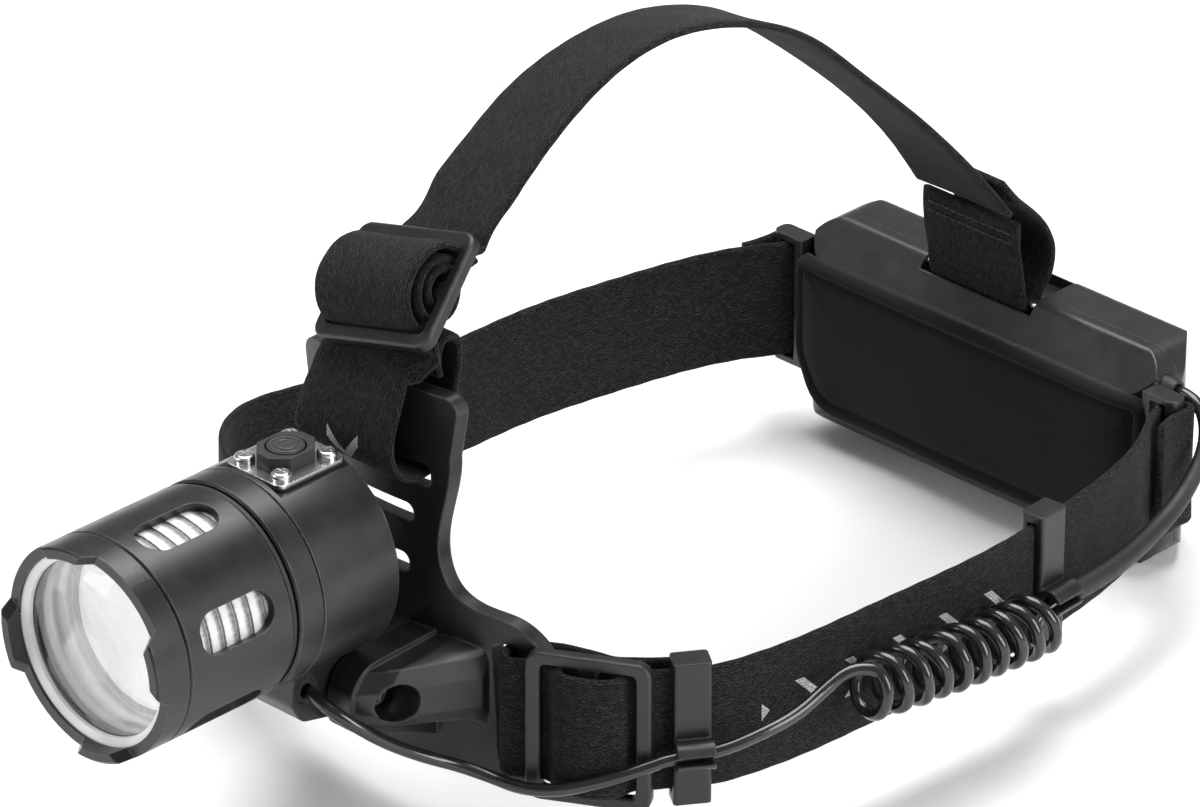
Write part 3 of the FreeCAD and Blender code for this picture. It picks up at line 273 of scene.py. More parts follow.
def solid_finish(name, dark, light, rough, edge=0.0003, patch=180, grain=2600, grain_depth=0.00002,
                 edge_wear_and_highlight=None, stretch=None, **sockets):
    """Moulded or turned material: patchy tone and gloss, fine surface grain, soft edges, and edges lightened
    in patches where a colour is given for them, partly wear and partly a painted highlight.
    """
    tree, shader, material = new_finish(name, **sockets)
    patches = noise(tree, patch, 4, 0.6, stretch=stretch)
    colour = blend_colours(tree, patches, dark, light)
    rounded = soft_edges(tree, edge)
    if edge_wear_and_highlight:
        # Edge lightening: partly wear, partly a painted highlight that stands in for light caught by the
        # rounded edges.
        mask = edge_mask(tree, rounded)
        wear_and_highlight_share = math_node(tree, "MULTIPLY", mask, spread(tree, noise(tree, 900, 3), 0.15, 1.0))
        colour = mix_colours(tree, wear_and_highlight_share, colour, edge_wear_and_highlight)
    tree.links.new(colour, shader.inputs["Base Color"])
    tree.links.new(spread(tree, noise(tree, patch * 2.3, 3), *rough), shader.inputs["Roughness"])
    fine = noise(tree, grain, 2, 0.6, stretch=stretch)
    tree.links.new(relief(tree, fine, grain_depth, 1.0, rounded), shader.inputs["Normal"])
    return material


def knit_finish(name, marks=(), dark=0.0025, light=0.046, row=0.5, dash=0.95):
    """Knitted elastic: rows of short dashes along the strap, row and dash in millimetres.

    Pale chevrons are woven in between each (start, stop) of marks, in metres along the strap.
    """
    tree, shader, material = new_finish(name, Roughness=0.85, Specular_IOR_Level=0.12,
                                        Sheen_Weight=0.05, Sheen_Roughness=0.45)
    along_strap = node(tree, "UVMap", {"uv_map": "UVMap"}).outputs["UV"]
    wander = node(tree, "TexNoise", {"noise_dimensions": "2D"}, Vector=along_strap,
                  Scale=800.0, Detail=1.0)
    shift = node(tree, "VectorMath", {"operation": "MULTIPLY_ADD"}, i0=wander.outputs["Color"],
                 i1=(0.0009, 0.0007, 0.0), i2=along_strap).outputs["Vector"]
    bricks = node(tree, "TexBrick", {"offset": 0.5}, Vector=shift,
                  Color1=grey(light), Color2=grey(light * 0.3), Mortar=grey(dark), Scale=1000.0,
                  Mortar_Size=0.13, Mortar_Smooth=0.7, Bias=0.1, Brick_Width=dash, Row_Height=row)
    fuzz = noise(tree, 2400, 2, 0.7)
    colour = mix_colours(tree, math_node(tree, "MULTIPLY", fuzz, 0.5), bricks.outputs["Color"],
                         grey(dark * 1.2))
    if marks:
        colour = mix_colours(tree, chevrons(tree, along_strap, bricks.outputs["Fac"], marks), colour,
                             (0.55, 0.55, 0.57, 1))
    tree.links.new(colour, shader.inputs["Base Color"])
    height = math_node(tree, "SUBTRACT", math_node(tree, "MULTIPLY", fuzz, 0.5), bricks.outputs["Fac"])
    tree.links.new(relief(tree, height, 0.00022, 0.9), shader.inputs["Normal"])
    return material


def chevrons(tree, along_strap, gaps, marks, pitch=0.0125, reach=0.0042, stroke=0.0011):
    """Mask of plain chevrons woven into the outer face, broken by the gaps of the knit."""
    parts = node(tree, "SeparateXYZ", Vector=along_strap)
    u, v = parts.outputs["X"], parts.outputs["Y"]
    height = math_node(tree, "ABSOLUTE", v)
    share = math_node(tree, "FRACT", math_node(tree, "DIVIDE", u, pitch))
    in_pitch = math_node(tree, "MULTIPLY", share, pitch)
    slanted = math_node(tree, "ADD", in_pitch, height)
    stroke_mask = math_node(tree, "COMPARE", slanted, reach + stroke, stroke)
    mask = math_node(tree, "MULTIPLY", stroke_mask, math_node(tree, "LESS_THAN", height, reach))
    inside = None
    for start, stop in marks:
        here = math_node(tree, "COMPARE", u, (start + stop) / 2, (stop - start) / 2)
        inside = here if inside is None else math_node(tree, "MAXIMUM", inside, here)
    mask = math_node(tree, "MULTIPLY", mask, inside)
    threads = math_node(tree, "SUBTRACT", 1.0, gaps)
    return math_node(tree, "MULTIPLY", mask, math_node(tree, "MULTIPLY_ADD", threads, 0.5, 0.5))


def cloth_finish(name):
    """Fine plain-woven cover of the pad."""
    tree, shader, material = new_finish(name, Roughness=0.9, Specular_IOR_Level=0.12, Sheen_Weight=0.06,
                                        Sheen_Roughness=0.4)
    place = place_of(tree)
    weave = None
    for turn in (0.0, math.pi / 2):
        turned = node(tree, "Mapping", Vector=place, Rotation=(0.0, turn, 0.0)).outputs["Vector"]
        bands = node(tree, "TexWave", {"bands_direction": "X", "wave_profile": "SIN"}, Vector=turned,
                     Scale=820.0, Distortion=1.5, Detail=1.0, Detail_Scale=2.0).outputs["Fac"]
        weave = bands if weave is None else math_node(tree, "MAXIMUM", weave, bands)
    colour = blend_colours(tree, weave, grey(0.003), grey(0.010), 0.1, 0.9)
    patches = spread(tree, noise(tree, 60, 3), 0.0, 0.35)
    tree.links.new(mix_colours(tree, patches, colour, grey(0.012)), shader.inputs["Base Color"])
    tree.links.new(relief(tree, weave, 0.00012, 0.7), shader.inputs["Normal"])
    return material


def board_finish(name, dark, light, trace):
    """Circuit board: solder mask with straight copper tracks under it."""
    tree, shader, material = new_finish(name, Roughness=0.35, Coat_Weight=0.4, Coat_Roughness=0.15)
    place = place_of(tree)
    tracks = node(tree, "TexBrick", Vector=place, Scale=1000.0, Brick_Width=4.2, Row_Height=1.7,
                  Mortar_Size=0.12, Color1=light, Color2=dark, Mortar=trace)
    tree.links.new(tracks.outputs["Color"], shader.inputs["Base Color"])
    tree.links.new(relief(tree, tracks.outputs["Fac"], 0.00005), shader.inputs["Normal"])
    return material


def ribbed_finish(name, ribs_per_metre=280):
    """Moulded white plastic with painted shade: the colour darkens between the ribs, mixed with random
    streaks.
    """
    tree, shader, material = new_finish(name, Roughness=0.4)
    place = place_of(tree)
    ribs = node(tree, "TexWave", {"bands_direction": "Y", "wave_profile": "SIN"}, Vector=place,
                Scale=ribs_per_metre * math.pi / 10, Distortion=0.6, Detail=2.0,
                Detail_Scale=12.0).outputs["Fac"]
    streaks = noise(tree, 500, 3, 0.6, stretch=(6.0, 0.6, 6.0))
    # Painted shade: dark bands between the ribs, set in the base colour.
    painted_rib_shade = math_node(tree, "MULTIPLY_ADD", streaks, 0.5, math_node(tree, "MULTIPLY", ribs, 0.75))
    tree.links.new(blend_colours(tree, painted_rib_shade, grey(0.10), grey(0.72), 0.2, 0.85), shader.inputs["Base Color"])
    tree.links.new(relief(tree, streaks, 0.00006, 0.8), shader.inputs["Normal"])
    return material


def make_finishes():
    """A finish for each material slot of the record, and two more that dress_frame gives to some pieces."""
    black = {
        "black_anodised": solid_finish("black_anodised", grey(0.006), grey(0.011), (0.27, 0.35),
                                       edge=0.00035, patch=90, grain=4200, grain_depth=0.000022,
                                       edge_wear_and_highlight=grey(0.14), Specular_IOR_Level=0.5),
        "black_rubber": solid_finish("black_rubber", grey(0.006), grey(0.011), (0.48, 0.62),
                                     edge=0.0004, patch=240, grain=3000),
        "bracket_plastic": solid_finish("bracket_plastic", grey(0.007), grey(0.013), (0.30, 0.42),
                                        edge=0.0007, patch=120, grain=3400, grain_depth=0.00002,
                                        edge_wear_and_highlight=grey(0.06)),
        "box_plastic": solid_finish("box_plastic", grey(0.012), grey(0.019), (0.26, 0.36),
                                    edge=0.0005, patch=90, grain=3800, grain_depth=0.000012, edge_wear_and_highlight=grey(0.06)),
        "lead_jacket": solid_finish("lead_jacket", grey(0.008), grey(0.014), (0.16, 0.26),
                                    edge=0.0001, patch=160, grain=700, grain_depth=0.00003,
                                    Coat_Weight=0.3, Coat_Roughness=0.12),
        "black_webbing": knit_finish("black_webbing"),
        "pad_cloth": cloth_finish("pad_cloth"),
    }
    light = {
        "clear_lens": solid_finish("clear_lens", grey(0.93), grey(0.98), (0.015, 0.04),
                                   edge=0.0001, patch=60, grain=300, grain_depth=0.000004,
                                   Transmission_Weight=1.0, IOR=1.49, Alpha=0.35),
        # Painted glow: white plastic with emission, standing in for light gathered inside the lens; the lamp
        # is off.
        "glowing_white": solid_finish("glowing_white", grey(0.80), grey(0.88), (0.25, 0.36),
                                  edge=0.0003, patch=120, grain=2600,
                                  Emission_Color=grey(1.0), Emission_Strength=0.45),
        "ribbed_white_painted_shade": ribbed_finish("ribbed_white_painted_shade"),
        "white_plastic": solid_finish("white_plastic", grey(0.74), grey(0.84), (0.30, 0.42),
                                      edge=0.0003, patch=120, grain=2600),
        "bright_steel": solid_finish("bright_steel", grey(0.56), grey(0.66), (0.20, 0.27),
                                     edge=0.00025, patch=300, grain=900, grain_depth=0.000006,
                                     stretch=(1.0, 9.0, 9.0), Metallic=1.0),
        "led_board_white": solid_finish("led_board_white", grey(0.72), grey(0.82), (0.3, 0.45),
                                        edge=0.0001, patch=500, grain=3000),
        "led_yellow": solid_finish("led_yellow", (0.75, 0.55, 0.06, 1), (0.86, 0.68, 0.14, 1),
                                   (0.2, 0.3), edge=0.0001, patch=900, grain=4000),
        "cell_wrap": solid_finish("cell_wrap", (0.03, 0.09, 0.25, 1), (0.04, 0.12, 0.32, 1),
                                  (0.2, 0.3), edge=0.0003, patch=80, grain=900),
        "circuit_board": board_finish("circuit_board", (0.01, 0.10, 0.05, 1), (0.01, 0.12, 0.06, 1),
                                      (0.03, 0.22, 0.11, 1)),
    }
    return {**black, **light}


def dress_frame(finishes):
    """Every CAD node that stays gets the finish of its slot, or its own where a slot has two looks."""
    # The reflector cup and the LED board get the painted glow; the window diffuser gets the painted rib
    # shade.
    own = {"window_diffuser": "ribbed_white_painted_shade", "reflector_cup": "glowing_white", "led_board": "glowing_white"}
    for name, item in nodes.items():
        for i, old in enumerate(item.data.materials):
            item.data.materials[i] = finishes[own.get(name, old.name.split(".")[0])]


# ---------------------------------------------------------------- lead

CORD_DIAMETER = 0.0026
CORD_FRONT = [(0.0089, -0.1040, 0.0076), (0.0134, -0.1046, 0.0068), (0.0180, -0.1016, 0.0032),
              (0.0204, -0.0954, -0.0024), (0.0230, -0.0880, -0.0074), (0.0268, -0.0816, -0.0106),
              (0.0322, -0.0782, -0.0124), (0.0386, -0.0776, -0.0124), (0.0454, -0.0756, -0.0112),
              (0.0520, -0.0720, -0.0086), (0.0584, -0.0672, -0.0054), (0.0621, -0.0601, -0.0035),
              (0.0672, -0.0529, -0.0032), (0.0709, -0.0452, -0.0010), (0.0730, -0.0368, 0.0009),
              (0.0738, -0.0300, 0.0042), (0.0752, -0.0250, 0.0068)]
CORD_REAR = [(0.0738, 0.0287, -0.0082), (0.0722, 0.0316, -0.0058), (0.0734, 0.0364, -0.0032),
             (0.0735, 0.0430, -0.0032), (0.0724, 0.0520, -0.0036), (0.0704, 0.0616, -0.0038),
             (0.0680, 0.0712, -0.0034), (0.0664, 0.0796, -0.0014), (0.0650, 0.0864, 0.0024),
             (0.0634, 0.0904, 0.0064), (0.0612, 0.0928, 0.0104), (0.0576, 0.0936, 0.0134),
             (0.0534, 0.0936, 0.0134)]
COIL_AXIS = [(0.0759, -0.0222, 0.0014), (0.0779, 0.0060, -0.0010), (0.0770, 0.0270, -0.0030)]
COIL_TURNS = 9.5
COIL_RADIUS = 0.0054
FIRST_TURN_LEAN = 0.0016
TURN_POINTS = 14
SLEEVE_START = (0.0735, 0.0395, -0.0032)
SLEEVE_POINTS = 34
SLEEVE_WALL = 0.0008


def coil_points():
    """Loose helix from the top of the coil round its outer side, each turn a little different."""
    draw = random.Random(11)
    axis = smooth_through(COIL_AXIS, 0.0005)
    sizes = [draw.uniform(-0.25, 0.35) * MM for _ in range(12)]
    leans = [draw.uniform(-0.5, 0.5) * MM for _ in range(12)]
    leans[0] = FIRST_TURN_LEAN
    made = []
    total = int(COIL_TURNS * TURN_POINTS)
    for k in range(1, total + 1):
        turn = k / TURN_POINTS
        angle = math.pi / 2 - 2 * math.pi * turn
        share = k / total
        middle = Vector(axis[int(share * (len(axis) - 1))])
        whole = int(turn)
        part = turn - whole
        radius = COIL_RADIUS + sizes[whole] * (1 - part) + sizes[whole + 1] * part
        lean = leans[whole] * (1 - part) + leans[whole + 1] * part
        made.append(middle + Vector((math.cos(angle) * radius, lean * math.sin(angle),
                                     math.sin(angle) * radius)))
    return made


def line_of(points):
    """Points along the smooth NURBS line that has the given control points."""
    curve = bpy.data.curves.new("lead_line", "CURVE")
    curve.dimensions = "3D"
    curve.resolution_u = 5
    spline = curve.splines.new("NURBS")
    spline.points.add(len(points) - 1)
    for point, place in zip(spline.points, points):
        point.co = (*place, 1)
    spline.order_u = 3
    spline.use_endpoint_u = True
    item = bpy.data.objects.new("lead_line", curve)
    mesh = bpy.data.meshes.new_from_object(item)
    path = [v.co.copy() for v in mesh.vertices]
    bpy.data.objects.remove(item)
    bpy.data.meshes.remove(mesh)
    return path


def make_lead(finishes):
    """The whole lead from the lamp's gland to the box's, one tube, with a tapered sleeve behind the coil."""
    path = line_of([Vector(p) for p in CORD_FRONT] + coil_points() + [Vector(p) for p in CORD_REAR])
    lead = tube("lead", path, lambda share: CORD_DIAMETER / 2, 14, finishes["lead_jacket"])
    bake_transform(lead)
    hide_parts("cord_lamp_end", "cord_front", "cord_coil", "cord_rear")

    sleeve_start = min(range(len(path)), key=lambda i: (path[i] - Vector(SLEEVE_START)).length)
    sleeve_path = path[sleeve_start:sleeve_start + SLEEVE_POINTS]

    def taper(share):
        return CORD_DIAMETER / 2 + SLEEVE_WALL * (1 - share ** 3)

    sleeve = tube("lead_sleeve", sleeve_path, taper, 16, finishes["black_rubber"])
    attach(sleeve, "harness")
    length = sum((b - a).length for a, b in zip(path, path[1:]))
    print("lead length", round(length, 4))


# ---------------------------------------------------------------- elastic webbing

BAND_WIDTH = 0.026
BAND_THICK = 0.0015
WAVINESS = 0.00012
FOLD_WAVINESS = 0.00005
STRAP_STEP = 0.0011
# Waves along a strap, in radians per metre: two across its middle, one of its edges, one of its width.
LONG_SWAY, SHORT_SWAY, EDGE_CURL, WIDTH_WAVE = 210, 470, 120, 900
SHORT_SWAY_SHARE, EDGE_CURL_SHARE, WIDTH_WAVE_SHARE = 0.6, 1.5, 0.004
RIGHT_BAND = [(0.0586, -0.0568), (0.0626, -0.0510), (0.0654, -0.0420), (0.0672, -0.0310), (0.0686, -0.0147),
              (0.0697, 0.0095), (0.0690, 0.0366), (0.0656, 0.0581), (0.0604, 0.0740), (0.0560, 0.0824),
              (0.0537, 0.0890), (0.0539, 0.0910), (0.0549, 0.0920), (0.0568, 0.0922), (0.0585, 0.0914),
              (0.0588, 0.0890), (0.0588, 0.0860), (0.0602, 0.0806)]
LEFT_BAND = [(-0.0608, -0.0573), (-0.0678, -0.0530), (-0.0736, -0.0466), (-0.0760, -0.0382),
             (-0.0744, -0.0286), (-0.0708, -0.0170), (-0.0668, -0.0016), (-0.0652, 0.0140),
             (-0.0646, 0.0273), (-0.0627, 0.0426), (-0.0598, 0.0571), (-0.0554, 0.0720),
             (-0.0494, 0.0840), (-0.0470, 0.0890), (-0.0472, 0.0910), (-0.0482, 0.0920),
             (-0.0501, 0.0922), (-0.0518, 0.0914), (-0.0521, 0.0890), (-0.0521, 0.0860),
             (-0.0534, 0.0806)]
FOLD_IN_PLATE_SLOT = [(0.0558, -0.0534), (0.0520, -0.0570), (0.0476, -0.0606), (0.0426, -0.0620),
                      (0.0380, -0.0636), (0.0336, -0.0660), (0.0306, -0.0694), (0.0303, -0.0730),
                      (0.0322, -0.0748), (0.0360, -0.0729)]
SIDE_BUCKLE = ((0.0478, -0.0679), 29.0)
OVER_SIDE_BAR = [(-0.0074, -0.0008), (-0.0056, 0.0018), (-0.0014, 0.0033), (0.0030, 0.0032), (0.0062, 0.0014),
                 (0.0080, -0.0012), (0.0104, -0.0025)]

# The straps' lists below are in millimetres: (y, z) in the middle plane, with a roll in degrees where
# there is a third number. Those of the top buckle are (along, out) from its middle.
TOP_STRAP = [(-57.4, 84.5, 15), (-51.0, 90.7, 16), (-43.5, 96.6, 17), (-32.0, 103.4, 18), (-20.0, 107.6, 19),
             (-8.0, 109.2, 18), (4.0, 108.2, 14), (16.0, 104.6, 10), (29.0, 98.0, 5), (43.0, 87.4, 0),
             (57.0, 75.0, -2), (70.0, 62.0, -3), (81.0, 49.8, -2), (88.4, 40.0, 0)]
FRONT_LOOP = [(-77.2, 66.2), (-80.4, 61.8), (-83.4, 55.6), (-84.2, 49.6), (-80.6, 45.6), (-76.0, 45.0),
              (-71.6, 46.6), (-69.2, 52.0), (-68.0, 58.6), (-67.0, 63.6), (-66.6, 67.6), (-68.0, 71.2),
              (-70.8, 71.2), (-72.2, 68.4), (-71.6, 64.2)]
REAR_LOOP = [(90.6, 37.0), (90.8, 30.0), (92.3, 22.6), (93.05, 17.7), (93.65, 16.25), (95.1, 15.65),
             (96.55, 16.25), (97.15, 17.7), (100.4, 22.6), (101.0, 28.6), (98.6, 33.8), (94.9, 38.1),
             (90.8, 42.0), (86.1, 47.6)]
TOP_BUCKLE = Vector((0, -0.0708, 0.0782))
OVER_TOP_BAR = [(12.0, -4.0), (10.0, -2.6), (8.7, 0.0), (8.3, 3.2), (5.0, 7.0), (-0.2, 8.2), (-4.9, 6.8),
                (-7.7, 3.4), (-8.3, 0.0), (-7.9, -2.6)]
ROUND_TOP_BAR = [(9.4, -4.4), (6.9, -2.2), (6.5, 0.8), (5.4, 3.6), (2.2, 5.7), (-1.6, 5.7), (-4.6, 3.6),
                 (-5.8, 0.4), (-4.6, -2.6), (-1.4, -4.1), (2.0, -3.5), (4.2, -1.2), (4.0, 1.8), (1.4, 3.6),
                 (-1.4, 3.2), (-3.2, 1.0)]

# Where the pale chevrons run, in metres from the strap's first end.
SIDE_MARKS = [(0.092, 0.160)]
TOP_MARKS = [(0.232, 0.2445)]


def strap_section(width, thick, columns=12):
    """Flat section with rounded edges, as (across, out, distance round it), from one edge."""
    half, lift = width / 2, thick / 2
    face = [-half + lift + (width - 2 * lift) * i / columns for i in range(columns + 1)]
    edge = [(half - lift + lift * math.cos(t), lift * math.sin(t)) for t in (math.pi / 4, 0, -math.pi / 4)]
    outline = [(a, lift) for a in face] + edge
    outline += [(a, -lift) for a in face[::-1]] + [(-a, -o) for a, o in edge]
    made = []
    distance = face[0]
    for i, point in enumerate(outline):
        if i:
            distance += math.dist(point, outline[i - 1])
        made.append((*point, distance))
    return made


def strap(name, stations, thick, finish, seed, waviness=WAVINESS):
    """Webbing through (x, y, z, across x, y, z) stations, its outer face towards run cross across."""
    draw = random.Random(seed)
    phases = [draw.uniform(0, 6.28) for _ in range(4)]
    rows = smooth_through(stations, STRAP_STEP)
    places = [Vector(r[:3]) for r in rows]
    section = strap_section(BAND_WIDTH, thick)
    around = len(section)
    points, lengths = [], []
    travelled = 0.0
    for i, place in enumerate(places):
        run = (places[min(i + 1, len(places) - 1)] - places[max(i - 1, 0)]).normalized()
        across = Vector(rows[i][3:6])
        across = (across - run * across.dot(run)).normalized()
        out = run.cross(across)
        travelled += (place - places[i - 1]).length if i else 0.0
        lengths.append(travelled)
        sway = math.sin(travelled * LONG_SWAY + phases[0])
        sway += SHORT_SWAY_SHARE * math.sin(travelled * SHORT_SWAY + phases[1])
        curl = math.sin(travelled * EDGE_CURL + phases[2])
        for a, o, _ in section:
            edge = abs(a) / BAND_WIDTH * 2
            lift = waviness * (sway * (1 - edge) + curl * edge ** 2 * EDGE_CURL_SHARE)
            trim = 1 + WIDTH_WAVE_SHARE * math.sin(travelled * WIDTH_WAVE + phases[3])
            points.append(place + across * a * trim + out * (o + lift))
    faces, uvs = [], []
    whole_round = section[-1][2] + math.dist(section[-1][:2], section[0][:2])
    for i in range(len(places) - 1):
        for k in range(around):
            after = (k + 1) % around
            v0 = section[k][2]
            v1 = section[after][2] if after else whole_round
            faces.append((i * around + k, (i + 1) * around + k,
                          (i + 1) * around + after, i * around + after))
            uvs.append([(lengths[i], v0), (lengths[i + 1], v0), (lengths[i + 1], v1), (lengths[i], v1)])
    for i, order in ((0, 1), (len(places) - 1, -1)):
        faces.append(tuple(i * around + k for k in range(around))[::order])
        uvs.append([(section[k][1] * order, section[k][0]) for k in range(around)][::order])
    return mesh_object(name, points, faces, finish, uvs), travelled


def in_side_buckle(side, along, out):
    """A point of the plan given from the middle of a side buckle."""
    (x, y), heading = SIDE_BUCKLE
    turn = math.radians(heading)
    return (side * (x + along * math.cos(turn) + out * math.sin(turn)),
            y + along * math.sin(turn) - out * math.cos(turn))


def make_side_bands(finishes):
    """Each band comes through the plate's slot, over its buckle's bar and back round the box's lug."""
    marked = knit_finish("black_webbing_marked", marks=SIDE_MARKS)
    for side, band, label in ((1, RIGHT_BAND, "right"), (-1, LEFT_BAND, "left")):
        route = [(side * x, y) for x, y in FOLD_IN_PLATE_SLOT]
        route += [in_side_buckle(side, *p) for p in OVER_SIDE_BAR]
        stations = [(x, y, 0, 0, 0, side) for x, y in route + band]
        web, length = strap("elastic_" + label, stations, BAND_THICK, marked if side > 0 else
                            finishes["black_webbing"], 3 + side)
        print(web.name, round(length, 4))
        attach(web, "harness")
        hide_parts("band_" + label, "band_loop_" + label)


def rolled(run, degrees):
    """The X axis, rolled about a run so that its end lifts."""
    turn = math.radians(degrees)
    return RIGHT * math.cos(turn) - run.cross(RIGHT) * math.sin(turn)


TOP_BUCKLE_TILT, TOP_BUCKLE_LEAN = 42, 15
SIDEWAYS_OVER_BAR = 0.11


def top_buckle_axes():
    """The ways along the top buckle, across it and out of its face."""
    tilt, lean = math.radians(TOP_BUCKLE_TILT), math.radians(TOP_BUCKLE_LEAN)
    long_way = Vector((-math.sin(lean) * math.sin(tilt), math.cos(tilt), math.cos(lean) * math.sin(tilt)))
    across = Vector((math.cos(lean), 0, math.sin(lean)))
    out = Vector((-math.sin(lean) * math.cos(tilt), -math.sin(tilt), math.cos(lean) * math.cos(tilt)))
    return long_way, across, out


def make_top_strap(finishes):
    """One strap from the back over the crown, over the buckle's bar, down through the plate and up."""
    long_way, across, out = top_buckle_axes()
    lean = math.radians(TOP_BUCKLE_LEAN)
    stations = []
    crown = TOP_STRAP[::-1]
    for i, (y, z, roll) in enumerate(crown):
        before, after = crown[max(i - 1, 0)], crown[min(i + 1, len(crown) - 1)]
        run = Vector((0, before[0] - after[0], before[1] - after[1])).normalized()
        stations.append((0, y * MM, z * MM, *rolled(run, roll)))
    for along, lift in OVER_TOP_BAR:
        place = TOP_BUCKLE + (long_way * along + out * lift + across * along * SIDEWAYS_OVER_BAR) * MM
        stations.append((*place, *across))
    for i, (y, z) in enumerate(FRONT_LOOP):
        share = max(0.0, 1 - i / 4)
        stations.append((-0.0012 * share, y * MM, z * MM, math.cos(lean * share), 0, math.sin(lean * share)))
    finish = knit_finish("black_webbing_top", marks=TOP_MARKS)
    web, length = strap("elastic_top", stations, BAND_THICK, finish, 7)
    print(web.name, round(length, 4))
    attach(web, "harness")
    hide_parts("top_strap", "top_strap_front_loop")


def make_top_roll(finishes):
    """The strap's end, wound round the top buckle's bar under the strap."""
    long_way, across, out = top_buckle_axes()
    roll = []
    for along, lift in ROUND_TOP_BAR:
        roll.append((*(TOP_BUCKLE + (long_way * along + out * lift) * MM), *across))
    fold, length = strap("elastic_top_roll", roll, BAND_THICK, finishes["black_webbing"], 13, FOLD_WAVINESS)
    print(fold.name, round(length, 4))
    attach(fold, "harness")


def make_rear_loop(finishes):
    """The loop round the box's bar: the front leg follows the strap's end, the rear leg comes up over it."""
    loop = [(0, y * MM, z * MM, -1, 0, 0) for y, z in REAR_LOOP]
    fold, length = strap("elastic_rear_loop", loop, BAND_THICK, finishes["black_webbing"], 9, FOLD_WAVINESS)
    print(fold.name, round(length, 4))
    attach(fold, "harness")
    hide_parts("top_strap_rear_loop")


# ---------------------------------------------------------------- pad

def rounded_outline(corners, count):
    """Even points round a polygon whose corners are (x, z, radius)."""
    made = []
    total = len(corners)
    for i, (x, z, radius) in enumerate(corners):
        here = Vector((x, z))
        back = (Vector(corners[i - 1][:2]) - here).normalized()
        ahead = (Vector(corners[(i + 1) % total][:2]) - here).normalized()
        half = back.angle(ahead) / 2
        reach = radius / math.tan(half)
        middle = here + (back + ahead).normalized() * radius / math.sin(half)
        start, stop = here + back * reach - middle, here + ahead * reach - middle
        sweep = start.angle_signed(stop)
        for k in range(9):
            turn = -sweep * k / 8
            made.append(middle + Vector((start.x * math.cos(turn) - start.y * math.sin(turn),
                                         start.x * math.sin(turn) + start.y * math.cos(turn))))
    closed = made + made[:1]
    walked = [0.0]
    for a, b in zip(closed, closed[1:]):
        walked.append(walked[-1] + (b - a).length)
    even = []
    for k in range(count):
        at = walked[-1] * k / count
        i = int(np.searchsorted(walked, at, side="right")) - 1
        share = (at - walked[i]) / max(walked[i + 1] - walked[i], 1e-9)
        even.append(closed[i].lerp(closed[i + 1], share))
    return even


PAD_STEPS = 220
SHOULDER_HEIGHT = -0.010
TOP_RADIUS, SHOULDER_RADIUS, FOOT_RADIUS = 0.004, 0.008, 0.011
LEFT_FOOT_INSET, RIGHT_FOOT_INSET = 0.0075, 0.009
PAD_END = 0.010
END_CURL = 22
PAD_WAVE = 0.0004
SPINE_INSET = 0.018
CROWN = 0.14
# The corded edge and the seam inside it, as (depth in from the edge, share of the pad's thickness).
PAD_EDGE = [(0.0, 0.30), (0.0001, 0.55), (0.0004, 0.80), (0.0009, 0.97), (0.0014, 1.0), (0.0019, 0.95),
            (0.0024, 0.78), (0.0027, 0.66), (0.0031, 0.70), (0.0037, 0.84), (0.0048, 0.96), (0.0066, 1.03)]
# The rings of the field, as shares of the way from the edge to the pad's spine.
PAD_FIELD = [0.12, 0.25, 0.4, 0.55, 0.7, 0.85, 1.0]


